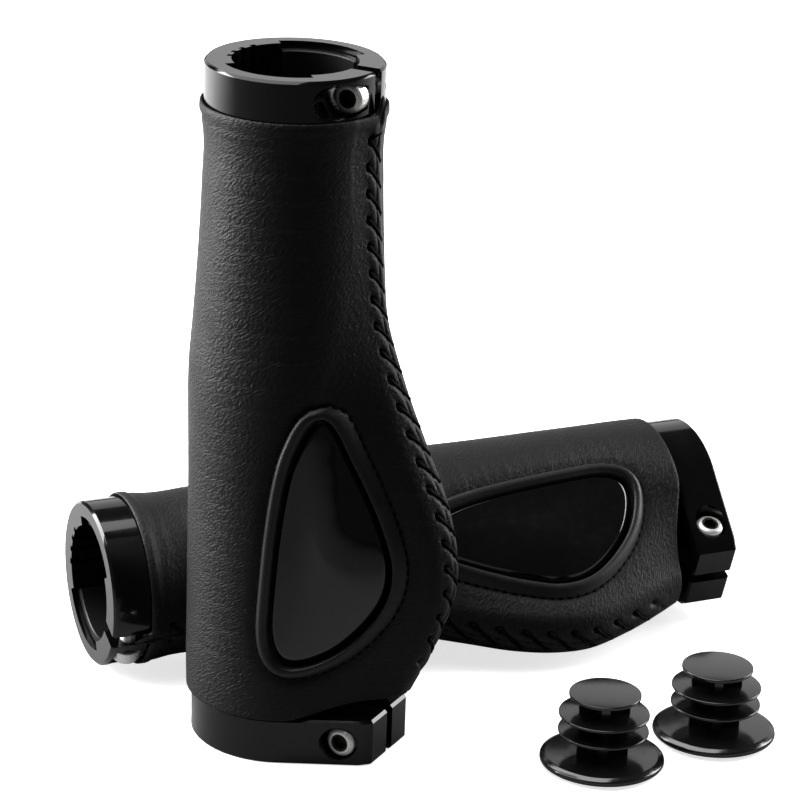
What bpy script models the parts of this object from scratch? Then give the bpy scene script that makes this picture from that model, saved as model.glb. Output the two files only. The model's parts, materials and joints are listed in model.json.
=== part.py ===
"""A pair of leather-covered bicycle bar end grips with clamp rings, bolts and two push-in bar end plugs.

Sizes are in millimetres and become metres where a mesh is made. Each grip is designed along its own axis:
local Z runs from its outboard face (0) to its inboard face, local X points out along the palm wing, and the
pad's side of the wing faces local +Y. The left grip is the mirror image of the right one.
"""

import math

import bmesh
import bpy
from mathutils import Euler, Matrix, Vector

MM = 0.001

# Bar and fits
BAR_DIAMETER = 22.2
BAR_CLEARANCE = 0.1
GAP = 0.3  # between pieces that touch
RUNNING_GAP = 0.1  # between a bolt's head and the wall of its counterbore

# Grip
GRIP_LENGTH = 130.0
CORE_WALL = 1.7
BODY_WALL = 1.65  # of the rubber body where it is thinnest
LEATHER = 1.0
WING_REACH = 17.1  # beyond the barrel's own radius
EDGE_RADIUS = 6.0
CLAMP_LIFT = 4.0  # how far the cover's outboard edge rises to clear the clamp's ears

# Along the cover: share of its length, swell of the barrel in mm, share of the wing's reach
PROFILE = (
    (0.000, 1.9, 0.40),
    (0.045, 2.0, 0.53),
    (0.095, 2.0, 0.69),
    (0.158, 1.95, 0.86),
    (0.235, 1.95, 1.00),
    (0.300, 1.95, 0.98),
    (0.365, 1.95, 0.87),
    (0.452, 2.1, 0.61),
    (0.560, 2.2, 0.29),
    (0.665, 1.4, 0.10),
    (0.775, 0.65, 0.055),
    (0.880, 0.15, 0.04),
    (0.950, 0.0, 0.04),
    (1.000, 0.75, 0.04),
)
BARREL_POINTS = 20
FLANK_POINTS = 2
EDGE_POINTS = 6

# Palm pad, its rim and the window for them: outline as distance along the wing and along the axis,
# from the barrel's axis and from the cover's outboard edge
PAD_OUTLINE = (
    (13.8, 58.8),
    (10.2, 53.0),
    (8.0, 42.5),
    (6.6, 27.0),
    (6.4, 15.5),
    (9.6, 11.0),
    (17.0, 14.0),
    (24.0, 22.5),
    (26.0, 30.5),
    (23.6, 39.5),
    (18.4, 50.5),
)
PAD_POINTS_PER_SPAN = 2
PAD_CROWN = 1.6
PAD_DEPTH = 3.0  # below the cover's outside
RIM_WIDTH = 2.0
RIM_PROUD = 0.6

# Lacing
THREAD_DIAMETER = 0.7
STITCH_PITCH = 4.85
STITCH_REACH = 2.3  # from the seam's ridge to a needle hole
LACING_END = 3.7  # from the cover's ends

# Clamp rings
LAND_CLEARANCE = 0.3
INBOARD_RING_WALL = 4.8
INBOARD_RING_WIDTH = 8.0
OUTBOARD_RING_WALL = 5.6
OUTBOARD_RING_WIDTH = 9.0
RING_CHAMFER = 0.5
RING_SEGMENTS = 40
KEY_HALF_ANGLE = 42.0  # of each recess that takes a tab of the core
KEY_SIDE_ANGLE = 1.5
TAB_SETBACK = 1.3  # of the core's tabs below the rings' outer faces
EAR_REACH = 6.0  # beyond the ring's outside
EAR_HALF_WIDTH = 6.8
EAR_BEVEL = 1.7
EAR_TANGENT_ANGLE = 64.0
INBOARD_SLOT_WIDTH = 2.8
INBOARD_SLOT_OFFSET = -0.8
OUTBOARD_SLOT_WIDTH = 2.2
NOTCH_ANGLES = (-21.0, -7.0, 7.0, 21.0)
NOTCH_WIDTH = 1.2
NOTCH_DEPTH = 0.8

# M3 socket head bolts
BOLT_DIAMETER = 3.0
BOLT_HEAD_DIAMETER = 5.5
BOLT_HEAD_HEIGHT = 3.0
HEX_ACROSS_FLATS = 2.5
HEX_DEPTH = 1.6
COUNTERBORE_DIAMETER = 6.5
BOLT_SEGMENTS = 16
INBOARD_BOLT_LENGTH = 10.0  # under the head
INBOARD_BOLT_REACH = 2.1  # from the land in a ring's bore to the bolt's axis
INBOARD_BOLT_SEAT = 3.4  # from the middle of the ring's slot to the floor of the counterbore
OUTBOARD_BOLT_LENGTH = 12.0
OUTBOARD_BOLT_REACH = 6.2
OUTBOARD_BOLT_SEAT = 6.6
AWAY_FROM_PAD = [("right", "inboard")]  # the ring whose bolt enters from the side away from the pad

# Bar end plugs
PLUG_HEAD_DIAMETER = 23.4
PLUG_HEAD_HEIGHT = 2.4
PLUG_FIN_DIAMETER = 17.0
PLUG_TIP_DIAMETER = 13.5
PLUG_FIN_THICKNESS = 0.7
PLUG_FIN_HEIGHTS = (6.9, 10.35)
PLUG_HEIGHT = 14.5
PLUG_RIB_SPAN = 9.5
PLUG_RIB_THICKNESS = 1.6
PLUG_SEGMENTS = 24

# How the set is laid out on its surface
STANDING_TURN = -26.0
LYING_SHIFT = -26.4  # of the lying grip's inboard face along its own axis, from the standing grip's axis
BARRELS_APART = 4.8  # between the two grips where their barrels are thinnest
LYING_YAW = 23.1
LYING_PITCH = 0.82
LYING_ROLL = 68.8  # of the wing away from straight down, towards the front
PLUGS_AT = {"left_plug": (60.5, -12.0), "right_plug": (82.4, 1.8)}

bore_radius = BAR_DIAMETER / 2 + BAR_CLEARANCE
core_radius = bore_radius + CORE_WALL
land_radius = BAR_DIAMETER / 2 + LAND_CLEARANCE
key_radius = core_radius + GAP
thinnest_radius = core_radius + GAP + BODY_WALL + GAP + LEATHER
body_inset = LEATHER + GAP
cover_start = OUTBOARD_RING_WIDTH + GAP
cover_end = GRIP_LENGTH - INBOARD_RING_WIDTH - GAP
cover_length = cover_end - cover_start
outboard_ring_radius = land_radius + OUTBOARD_RING_WALL
ear_end = outboard_ring_radius + EAR_REACH
lying_distance = 2 * thinnest_radius + BARRELS_APART

RINGS = {
    "outboard": {
        "low": 0.0,
        "high": OUTBOARD_RING_WIDTH,
        "radius": outboard_ring_radius,
        "ears": True,
        "slot": (OUTBOARD_SLOT_WIDTH, 0.0),
        "bolt": (land_radius + OUTBOARD_BOLT_REACH, OUTBOARD_BOLT_SEAT, OUTBOARD_BOLT_LENGTH),
    },
    "inboard": {
        "low": GRIP_LENGTH - INBOARD_RING_WIDTH,
        "high": GRIP_LENGTH,
        "radius": land_radius + INBOARD_RING_WALL,
        "ears": False,
        "slot": (INBOARD_SLOT_WIDTH, INBOARD_SLOT_OFFSET),
        "bolt": (land_radius + INBOARD_BOLT_REACH, INBOARD_BOLT_SEAT, INBOARD_BOLT_LENGTH),
    },
}


# ---- scene and materials ----


def clear_scene():
    for old in list(bpy.data.objects):
        bpy.data.objects.remove(old)


def material(name, colour, roughness, metallic=0.0):
    made = bpy.data.materials.new(name)
    made.use_nodes = True
    shader = made.node_tree.nodes["Principled BSDF"]
    shader.inputs["Base Color"].default_value = (*colour, 1.0)
    shader.inputs["Roughness"].default_value = roughness
    shader.inputs["Metallic"].default_value = metallic
    return made


def empty(name, parent=None, matrix=None):
    made = bpy.data.objects.new(name, None)
    bpy.context.scene.collection.objects.link(made)
    made.parent = parent
    made.matrix_local = matrix or Matrix.Identity(4)
    return made


def add_object(name, data, parent, at=(0.0, 0.0, 0.0)):
    made = bpy.data.objects.new(name, data)
    bpy.context.scene.collection.objects.link(made)
    made.parent = parent
    made.location = Vector(at) * MM
    return made


def solid(name, bm, parent, paint=None, side=1, at=(0.0, 0.0, 0.0)):
    """An object from a closed bmesh in mm, measured from the point at. side -1 makes its mirror image."""
    bmesh.ops.translate(bm, vec=-Vector(at), verts=bm.verts)
    bmesh.ops.scale(bm, vec=(MM, MM * side, MM), verts=bm.verts)
    bmesh.ops.recalc_face_normals(bm, faces=bm.faces)
    mesh = bpy.data.meshes.new(name)
    bm.to_mesh(mesh)
    bm.free()
    if paint:
        mesh.materials.append(paint)
        mesh.shade_smooth()
        mesh.set_sharp_from_angle(angle=math.radians(35))
    return add_object(name, mesh, parent, (at[0], at[1] * side, at[2]))


def boolean(target, cutter, operation="DIFFERENCE"):
    cutter.hide_render = True
    cutter.display_type = "WIRE"
    modifier = target.modifiers.new(cutter.name, "BOOLEAN")
    modifier.operation = operation
    modifier.object = cutter


# ---- bmesh shapes, in mm ----


def skin(loops, closed=False):
    """A bmesh through equal loops of points. Closed loops of loops make a ring, else the two ends are capped."""
    bm = bmesh.new()
    rows = [[bm.verts.new(point) for point in loop] for loop in loops]
    pairs = list(zip(rows, rows[1:]))
    if closed:
        pairs.append((rows[-1], rows[0]))
    for low, high in pairs:
        for i in range(len(low)):
            j = (i + 1) % len(low)
            bm.faces.new((low[i], low[j], high[j], high[i]))
    if not closed:
        bm.faces.new(reversed(rows[0]))
        bm.faces.new(rows[-1])
    bends = [face for face in bm.faces if len(face.verts) == 4]
    bmesh.ops.triangulate(bm, faces=bends, quad_method="SHORT_EDGE")
    return bm


def turned(profile, segments):
    """A bmesh of (radius, height) points turned round Z. Points at radius 0 become one point."""
    bm = bmesh.new()
    points = [bm.verts.new((radius, 0.0, height)) for radius, height in profile]
    edges = [bm.edges.new(pair) for pair in zip(points, points[1:])]
    if profile[0][0] > 0:
        edges.append(bm.edges.new((points[-1], points[0])))
    bmesh.ops.spin(
        bm,
        geom=points + edges,
        axis=(0, 0, 1),
        cent=(0, 0, 0),
        angle=2 * math.pi,
        steps=segments,
        use_merge=True,
    )
    bmesh.ops.remove_doubles(bm, verts=bm.verts, dist=1e-4)
    return bm


def prism(outline, low, high):
    """A bmesh of a plan outline of (x, y) points between two heights."""
    return skin([[(x, y, z) for x, y in outline] for z in (low, high)])


def arc(radius, start, end, count):
    """Points on a circle, from one angle in degrees to another, both included."""
    angles = [math.radians(start + (end - start) * i / (count - 1)) for i in range(count)]
    return [(radius * math.cos(a), radius * math.sin(a)) for a in angles]


def sector(inner, outer, middle, half_angle, low, high):
    """A bmesh of a stretch of a tube's wall, round the angle middle."""
    start, end = middle - half_angle, middle + half_angle
    count = 2 + int(half_angle / 6)
    return prism(arc(outer, start, end, count) + arc(inner, end, start, count), low, high)


def merged(parts):
    """One bmesh that holds several closed ones."""
    joined = bmesh.new()
    for part in parts:
        mesh = bpy.data.meshes.new("part")
        part.to_mesh(mesh)
        part.free()
        joined.from_mesh(mesh)
        bpy.data.meshes.remove(mesh)
    return joined


def along_y(bm, at, toward):
    """Turns a bmesh made along Z so that it runs along Y, towards +Y or -Y, from the point at."""
    turn = Euler((math.radians(-90 * toward), 0, 0)).to_matrix()
    bmesh.ops.rotate(bm, cent=(0, 0, 0), matrix=turn, verts=bm.verts)
    bmesh.ops.translate(bm, vec=at, verts=bm.verts)
    return bm


# ---- the grip's outside surface ----


def station(share):
    """The barrel's radius and the centre of the wing's edge, at a share of the cover's length."""
    for (s0, swell0, reach0), (s1, swell1, reach1) in zip(PROFILE, PROFILE[1:]):
        if share <= s1:
            break
    t = (share - s0) / (s1 - s0)
    radius = thinnest_radius + swell0 + (swell1 - swell0) * t
    reach = radius + WING_REACH * (reach0 + (reach1 - reach0) * t)
    return radius, reach - EDGE_RADIUS


def surface_y(x, share, offset):
    """How far the surface stands from the wing's middle plane at x, when it is offset outwards."""
    radius, centre = station(share)
    lean = math.acos((radius - EDGE_RADIUS) / centre)
    big, small = radius + offset, EDGE_RADIUS + offset
    if x <= big * math.cos(lean):
        return math.sqrt(big**2 - x**2)
    if x <= centre + small * math.cos(lean):
        return (big - x * math.cos(lean)) / math.sin(lean)
    return math.sqrt(max(small**2 - (x - centre) ** 2, 0.0))


def section(share, offset, lift):
    """One closed loop of the offset surface: round the barrel, across to the wing's edge and back."""
    radius, centre = station(share)
    lean = math.degrees(math.acos((radius - EDGE_RADIUS) / centre))
    barrel = arc(radius + offset, lean, 360 - lean, BARREL_POINTS)
    edge = [(centre + x, y) for x, y in arc(EDGE_RADIUS + offset, -lean, lean, EDGE_POINTS)]
    loop = barrel + between(barrel[-1], edge[0]) + edge + between(edge[-1], barrel[0])
    height = cover_start + cover_length * share
    return [(x, y, height + lift * rise(x)) for x, y in loop]


def between(first, last):
    """The points inside a straight flank."""
    shares = [(i + 1) / (FLANK_POINTS + 1) for i in range(FLANK_POINTS)]
    return [tuple(a + (b - a) * t for a, b in zip(first, last)) for t in shares]


def rise(x):
    """0 over the barrel, 1 out over the clamp's ears, and smooth between."""
    start = thinnest_radius / 2
    t = min(max((x - start) / (ear_end - start), 0.0), 1.0)
    return t * t * (3 - 2 * t)


def surface_loops(offset):
    return [
        section(share, offset, CLAMP_LIFT if index == 0 else 0.0)
        for index, (share, _, _) in enumerate(PROFILE)
    ]


def ridge_point(share, across, offset):
    """A point at a distance across from the wing's ridge, measured round its edge and the barrel behind it."""
    radius, centre = station(share)
    lean = math.acos((radius - EDGE_RADIUS) / centre)
    side = math.copysign(1.0, across)
    angle = abs(across) / EDGE_RADIUS
    small = EDGE_RADIUS + offset
    x, y = centre + small * math.cos(min(angle, lean)), small * math.sin(min(angle, lean))
    beyond = max(angle - lean, 0.0) * EDGE_RADIUS
    x -= beyond * math.sin(lean)
    y += beyond * math.cos(lean)
    return x, side * y, cover_start + cover_length * share


# ---- pad outline ----


def smooth_outline(points, per_span):
    """A closed smooth curve through the points, with per_span points from each one to the next."""
    curve = []
    count = len(points)
    for i in range(count):
        before, here, there, after = (Vector(points[(i + k) % count]) for k in (-1, 0, 1, 2))
        for step in range(per_span):
            t = step / per_span
            curve.append(
                0.5
                * (
                    2 * here
                    + (there - before) * t
                    + (2 * before - 5 * here + 4 * there - after) * t**2
                    + (3 * here - before - 3 * there + after) * t**3
                )
            )
    return curve


def grown(outline, distance):
    """The outline moved outwards by a distance. It runs anticlockwise, with the wing's reach to the right."""
    moved = []
    for i, point in enumerate(outline):
        along = outline[(i + 1) % len(outline)] - outline[i - 1]
        outwards = Vector((along.y, -along.x)).normalized()
        moved.append(point + outwards * distance)
    return moved


def raised(outline, shrink, offset):
    """The outline shrunk towards its middle and laid on the surface at an offset."""
    middle = sum(outline, Vector((0, 0))) / len(outline)
    loop = []
    for point in outline:
        x, along = middle + (point - middle) * shrink
        loop.append((x, surface_y(x, along / cover_length, offset), cover_start + along))
    return loop


pad_outline = smooth_outline(PAD_OUTLINE, PAD_POINTS_PER_SPAN)
PAD_LOOPS = (0.15, 0.5, 0.8, 1.0)


def patch(outline, low, high):
    """A bmesh of a plug of material between two offsets, which are functions of the share of the outline's size."""
    under = [raised(outline, share, low(share)) for share in PAD_LOOPS]
    over = [raised(outline, share, high(share)) for share in reversed(PAD_LOOPS)]
    return skin(under + over)


def flat_at(value):
    return lambda share: value


def crown(share):
    return PAD_CROWN * (1 - share**2)


# ---- pieces of one grip ----


def make_core(name, parent, paint, side):
    low, high = TAB_SETBACK, GRIP_LENGTH - TAB_SETBACK
    profile = [(bore_radius, low), (core_radius, low), (core_radius, high), (bore_radius, high)]
    core = solid(name, turned(profile, 36), parent, paint, side)
    clear = 90.0 - KEY_HALF_ANGLE + KEY_SIDE_ANGLE
    inner, outer = bore_radius - CORE_WALL, core_radius + CORE_WALL
    stretches = ((low - 1, cover_start), (cover_end, high + 1))
    cuts = [sector(inner, outer, middle, clear, *ends) for middle in (0, 180) for ends in stretches]
    boolean(core, solid(name + "_land_cuts", merged(cuts), parent, side=side))


def make_body(name, parent, paint, side):
    outer = surface_loops(-body_inset)
    count = len(outer[0])
    inner_radius = (core_radius + GAP) / math.cos(math.pi / count)
    start = math.degrees(math.atan2(outer[0][0][1], outer[0][0][0]))
    ring = arc(inner_radius, start, start + 360 - 360 / count, count)
    bore = [[(x, y, z) for x, y in ring] for z in (cover_end, cover_start)]
    body = solid(name, skin(outer + bore, closed=True), parent, paint, side)
    recess = patch(grown(pad_outline, GAP), flat_at(-PAD_DEPTH - GAP), flat_at(LEATHER))
    boolean(body, solid(name + "_pad_recess", recess, parent, side=side))


def make_cover(name, parent, paint, side):
    outer = surface_loops(0.0)
    inner = surface_loops(-LEATHER)
    cover = solid(name, skin(outer + inner[::-1], closed=True), parent, paint, side)
    outline = grown(pad_outline, GAP + RIM_WIDTH + GAP)
    loops = [
        [(point.x, y, cover_start + point.y) for point in outline]
        for y in (EDGE_RADIUS / 3, thinnest_radius * 2)
    ]
    boolean(cover, solid(name + "_window", skin(loops), parent, side=side))


def make_pad(name, parent, paint, side):
    solid(name, patch(pad_outline, flat_at(-PAD_DEPTH), crown), parent, paint, side)


def make_rim(name, parent, paint, side):
    inside = grown(pad_outline, GAP)
    outside = grown(inside, RIM_WIDTH)
    low, high = -LEATHER, RIM_PROUD
    loops = [
        raised(inside, 1.0, low),
        raised(inside, 1.0, high),
        raised(outside, 1.0, high),
        raised(outside, 1.0, low),
    ]
    solid(name, skin(loops, closed=True), parent, paint, side)


def make_lacing(name, parent, paint, side):
    offset = THREAD_DIAMETER / 2 + GAP + STITCH_REACH**2 / (8 * EDGE_RADIUS)
    stitches = int((cover_length - 2 * LACING_END - CLAMP_LIFT) / STITCH_PITCH)
    route = []
    for quarter in range(4 * stitches + 1):
        along = cover_length - LACING_END - quarter * STITCH_PITCH / 4
        across = STITCH_REACH * (1, 0, -1, 0)[quarter % 4]
        x, y, z = ridge_point(along / cover_length, across, offset)
        route.append((x, side * y, z))
    thread = bpy.data.curves.new(name, "CURVE")
    thread.dimensions = "3D"
    thread.bevel_depth = THREAD_DIAMETER / 2 * MM
    thread.bevel_resolution = 0
    thread.use_fill_caps = True
    thread.materials.append(paint)
    spline = thread.splines.new("POLY")
    spline.points.add(len(route) - 1)
    for point, place in zip(spline.points, route):
        point.co = (*(Vector(place) * MM), 1.0)
    add_object(name, thread, parent)


def ear_outline(radius, inset):
    """A ring's plan with ears: a circle, two straight flanks that touch it, and bevelled ear ends."""
    angle = math.radians(EAR_TANGENT_ANGLE)
    end, half = ear_end - inset, EAR_HALF_WIDTH - inset / 2
    shoulder = end - EAR_BEVEL
    reach = radius * math.cos(angle)
    flank = radius * math.sin(angle) - (shoulder - reach) / math.tan(angle)
    round_part = arc(radius, EAR_TANGENT_ANGLE, 360 - EAR_TANGENT_ANGLE, RING_SEGMENTS * 3 // 4)
    return round_part + [(shoulder, -flank), (end, -half), (end, half), (shoulder, flank)]


def ring_outline(ring, inset):
    radius = ring["radius"] - inset
    if ring["ears"]:
        return ear_outline(radius, inset)
    return arc(radius, 0, 360 - 360 / RING_SEGMENTS, RING_SEGMENTS)


def make_clamp(name, ring, parent, paint, side, toward):
    low, high = ring["low"], ring["high"]
    levels = (
        (low, RING_CHAMFER),
        (low + RING_CHAMFER, 0.0),
        (high - RING_CHAMFER, 0.0),
        (high, RING_CHAMFER),
    )
    blank = skin([[(x, y, z) for x, y in ring_outline(ring, inset)] for z, inset in levels])
    clamp = solid(name, blank, parent, paint, side)
    below, above = low - 1, high + 1
    width, offset = ring["slot"]
    slot_end = ear_end + 2
    slot_sides = offset - width / 2, offset + width / 2
    low_corner, high_corner = (math.degrees(math.asin(y / land_radius)) for y in slot_sides)
    bore = arc(land_radius, high_corner, 360 + low_corner, RING_SEGMENTS)
    bore_and_slot = prism(bore + [(slot_end, y) for y in slot_sides], below, above)
    keys = [
        sector(land_radius - 2, key_radius, middle, KEY_HALF_ANGLE, below, above)
        for middle in (90, 270)
    ]
    notch_half = math.degrees(NOTCH_WIDTH / 2 / land_radius)
    notches = [
        sector(land_radius - 1, land_radius + NOTCH_DEPTH, 180 + angle, notch_half, below, above)
        for angle in NOTCH_ANGLES
    ]
    reach, seat, length = ring["bolt"]
    slot_middle = (reach, offset, (low + high) / 2)
    hole_radius = BOLT_DIAMETER / 2 + GAP
    hole_end = seat - length - 2 * GAP
    hole = turned([(0, hole_end), (hole_radius, hole_end), (hole_radius, seat + 1), (0, seat + 1)], 16)
    mouth = ring["radius"] + 2
    head_radius = COUNTERBORE_DIAMETER / 2
    head_room = turned([(0, seat), (head_radius, seat), (head_radius, mouth), (0, mouth)], BOLT_SEGMENTS)
    cuts = {
        "bore_and_slot": bore_and_slot,
        "keys": merged(keys),
        "notches": merged(notches),
        "bolt_hole": along_y(hole, slot_middle, toward),
        "counterbore": along_y(head_room, slot_middle, toward),
    }
    for cut, shape in cuts.items():
        boolean(clamp, solid(f"{name}_{cut}", shape, parent, side=side))


def make_bolt(name, ring, parent, paint, side, toward):
    reach, seat, length = ring["bolt"]
    at = (reach, ring["slot"][1] + toward * (seat + GAP), (ring["low"] + ring["high"]) / 2)
    shank, head = BOLT_DIAMETER / 2, BOLT_HEAD_DIAMETER / 2
    chamfer = 0.3
    profile = [
        (0, -length),
        (shank - chamfer, -length),
        (shank, chamfer - length),
        (shank, 0),
        (head, 0),
        (head, BOLT_HEAD_HEIGHT - chamfer),
        (head - chamfer, BOLT_HEAD_HEIGHT),
        (0, BOLT_HEAD_HEIGHT),
    ]
    shape = along_y(turned(profile, BOLT_SEGMENTS), at, toward)
    bolt = solid(name, shape, parent, paint, side, at)
    hex_radius = HEX_ACROSS_FLATS / 2 / math.cos(math.pi / 6)
    socket = prism(arc(hex_radius, 0, 300, 6), BOLT_HEAD_HEIGHT - HEX_DEPTH, BOLT_HEAD_HEIGHT + 1)
    boolean(bolt, solid(name + "_socket", along_y(socket, at, toward), parent, side=side, at=at))


def make_grip(hand, side, parent, paints):
    make_core(f"{hand}_core_tube", parent, paints["nylon"], side)
    make_body(f"{hand}_palm_body", parent, paints["rubber"], side)
    make_cover(f"{hand}_leather_cover", parent, paints["leather"], side)
    make_pad(f"{hand}_palm_pad", parent, paints["gel"], side)
    make_rim(f"{hand}_pad_rim", parent, paints["rim"], side)
    make_lacing(f"{hand}_seam_lacing", parent, paints["thread"], side)
    for end, ring in RINGS.items():
        toward = -1 if (hand, end) in AWAY_FROM_PAD else 1
        make_clamp(f"{hand}_{end}_clamp", ring, parent, paints["aluminium"], side, toward)
        make_bolt(f"{hand}_{end}_bolt", ring, parent, paints["steel"], side, toward)


# ---- bar end plug ----


def make_plug(name, parent, paint, at):
    head, fin, tip = PLUG_HEAD_DIAMETER / 2, PLUG_FIN_DIAMETER / 2, PLUG_TIP_DIAMETER / 2
    stem = PLUG_RIB_THICKNESS
    profile = [(0, 0), (head * 0.8, 0), (head, 1.0), (head, 1.8), (head - 0.7, PLUG_HEAD_HEIGHT)]
    profile.append((stem, PLUG_HEAD_HEIGHT))
    for height in PLUG_FIN_HEIGHTS:
        low, high = height - PLUG_FIN_THICKNESS / 2, height + PLUG_FIN_THICKNESS / 2
        profile += [(stem, low), (fin, low), (fin, high), (stem, high)]
    low = PLUG_HEIGHT - PLUG_FIN_THICKNESS
    profile += [(stem, low), (tip, low), (tip, PLUG_HEIGHT), (0, PLUG_HEIGHT)]
    plug = solid(name, turned(profile, PLUG_SEGMENTS), parent, paint)
    plug.location = Vector((*at, 0.0)) * MM
    half, thin = PLUG_RIB_SPAN / 2, PLUG_RIB_THICKNESS / 2
    low, high = PLUG_HEAD_HEIGHT - 0.5, PLUG_HEIGHT - PLUG_FIN_THICKNESS / 2
    for axis, (x, y) in {"x": (half, thin), "y": (thin, half)}.items():
        rib = solid(f"{name}_rib_{axis}", prism([(-x, -y), (x, -y), (x, y), (-x, y)], low, high), parent)
        rib.location = plug.location
        boolean(plug, rib, "UNION")


# ---- layout ----


def lying_matrix(height):
    """Places the right grip: its axis from the outboard to the inboard end, and its wing down and forwards."""
    yaw, pitch, roll = (math.radians(a) for a in (LYING_YAW, LYING_PITCH, LYING_ROLL))
    outboard = Vector((math.cos(pitch) * math.cos(yaw), math.cos(pitch) * math.sin(yaw), math.sin(pitch)))
    front = Vector((math.sin(yaw), -math.cos(yaw), 0.0))
    down = front.cross(outboard).normalized()
    if down.z > 0:
        down = -down
    wing = down * math.cos(roll) + front * math.sin(roll)
    axis = -outboard
    turn = Matrix((wing, axis.cross(wing), axis)).transposed().to_4x4()
    inboard_face = Vector((0, 0, height)) - front * lying_distance
    inboard_face += Vector((math.cos(yaw), math.sin(yaw), 0)) * LYING_SHIFT
    at = inboard_face + outboard * GRIP_LENGTH
    return Matrix.Translation(at * MM) @ turn


def node_corners(parent):
    """Every vertex of the finished pieces under an empty, in world space."""
    bpy.context.view_layer.update()
    graph = bpy.context.evaluated_depsgraph_get()
    points = []
    for piece in parent.children_recursive:
        if piece.type == "EMPTY" or piece.hide_render:
            continue
        evaluated = piece.evaluated_get(graph)
        mesh = evaluated.to_mesh()
        points += [piece.matrix_world @ vertex.co for vertex in mesh.vertices]
        evaluated.to_mesh_clear()
    return points


def main():
    clear_scene()
    paints = {
        "leather": material("leather", (0.012, 0.012, 0.013), 0.45),
        "rubber": material("rubber", (0.02, 0.02, 0.02), 0.8),
        "gel": material("gloss_gel", (0.008, 0.008, 0.009), 0.08),
        "rim": material("rim", (0.012, 0.012, 0.013), 0.4),
        "thread": material("thread", (0.01, 0.01, 0.01), 0.6),
        "nylon": material("nylon", (0.015, 0.015, 0.015), 0.5),
        "aluminium": material("black_aluminium", (0.015, 0.015, 0.016), 0.2, 0.6),
        "steel": material("steel", (0.7, 0.7, 0.72), 0.2, 1.0),
        "plug": material("moulded_plug", (0.012, 0.012, 0.013), 0.25),
    }
    layout = empty("set_layout")
    turn = Matrix.Rotation(math.radians(STANDING_TURN), 4, "Z")
    standing = empty("left_grip_axis", layout, turn)
    lying = empty("right_grip_axis", layout, lying_matrix(0.0))
    make_grip("left", -1, standing, paints)
    make_grip("right", 1, lying, paints)
    for name, at in PLUGS_AT.items():
        make_plug(name, layout, paints["plug"], at)
    lowest = min(point.z for point in node_corners(lying))
    lying.matrix_local = lying_matrix(-lowest / MM)
    points = node_corners(layout)
    for axis in range(2):
        values = [point[axis] for point in points]
        layout.location[axis] = -(min(values) + max(values)) / 2
    bpy.context.view_layer.update()


main()
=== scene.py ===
"""A pair of leather-covered bicycle bar end grips with clamp rings, socket screws and two push-in bar plugs.

Laid out as a Blender add-on and run as a script. The sizes and colours that a maker would change are in
the sidebar, one operator builds each group of like pieces, and the stage operator sets a pale floor, soft
lights and the camera. A grip is designed in millimetres along its own axis: local Z runs from its outboard
face (0) to its inboard face, local X points out along the palm wing, and the pad is on the +Y side of the
wing.
"""

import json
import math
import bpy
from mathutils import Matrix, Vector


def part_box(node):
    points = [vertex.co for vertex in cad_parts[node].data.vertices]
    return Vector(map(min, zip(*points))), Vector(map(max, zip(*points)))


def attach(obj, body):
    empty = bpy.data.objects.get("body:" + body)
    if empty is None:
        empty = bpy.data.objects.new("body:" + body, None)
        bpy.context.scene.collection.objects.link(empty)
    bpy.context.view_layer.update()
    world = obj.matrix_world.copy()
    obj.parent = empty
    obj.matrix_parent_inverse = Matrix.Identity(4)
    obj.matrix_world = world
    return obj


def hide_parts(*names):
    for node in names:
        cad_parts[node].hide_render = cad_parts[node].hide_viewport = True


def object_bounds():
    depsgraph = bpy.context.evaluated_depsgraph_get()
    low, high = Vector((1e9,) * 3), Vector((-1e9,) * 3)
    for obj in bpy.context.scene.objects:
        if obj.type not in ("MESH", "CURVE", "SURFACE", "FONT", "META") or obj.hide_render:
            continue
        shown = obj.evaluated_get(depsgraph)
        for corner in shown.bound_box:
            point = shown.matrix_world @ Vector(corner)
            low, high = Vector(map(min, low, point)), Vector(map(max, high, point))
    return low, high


bl_info = {
    "name": "Leather bar end grips",
    "version": (1, 0, 0),
    "blender": (4, 5, 0),
    "location": "View3D > Sidebar > Bar grips",
    "description": "Leather, pads, lacing, clamp rings, screws and plugs for a pair of bar end grips",
    "category": "Object",
}

import bmesh
import bpy
import numpy as np
from bpy.props import FloatProperty, PointerProperty, StringProperty
from mathutils import Matrix, Vector

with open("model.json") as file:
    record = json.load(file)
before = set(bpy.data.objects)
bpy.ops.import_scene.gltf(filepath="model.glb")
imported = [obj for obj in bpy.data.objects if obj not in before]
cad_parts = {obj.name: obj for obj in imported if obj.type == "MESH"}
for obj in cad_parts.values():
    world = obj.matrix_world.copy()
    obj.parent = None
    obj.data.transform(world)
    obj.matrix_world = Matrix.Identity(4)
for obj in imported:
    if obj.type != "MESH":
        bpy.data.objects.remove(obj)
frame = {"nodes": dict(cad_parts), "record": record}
CAD_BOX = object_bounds()
JOINTS = {joint["name"]: joint for joint in frame["record"]["behaviour"]["joints"]}

MM = 0.001
HANDS = {"left": -1, "right": 1}

# Fits, in mm
BAR_CLEARANCE = 0.1
LAND_CLEARANCE = 0.3
GAP = 0.3
CORE_WALL = 1.7
BODY_WALL = 1.65
EDGE_RADIUS = 6.0
CLAMP_LIFT = 4.0

# Along the cover: share of its length, swell of the barrel in mm, share of the wing's reach
PROFILE = (
    (0.000, 1.9, 0.40),
    (0.045, 2.0, 0.53),
    (0.095, 2.0, 0.69),
    (0.158, 1.95, 0.86),
    (0.235, 1.95, 1.00),
    (0.300, 1.95, 0.98),
    (0.365, 1.95, 0.87),
    (0.452, 2.1, 0.61),
    (0.560, 2.2, 0.29),
    (0.665, 1.4, 0.10),
    (0.775, 0.65, 0.055),
    (0.880, 0.15, 0.04),
    (0.950, 0.0, 0.04),
    (1.000, 0.75, 0.04),
)

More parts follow.
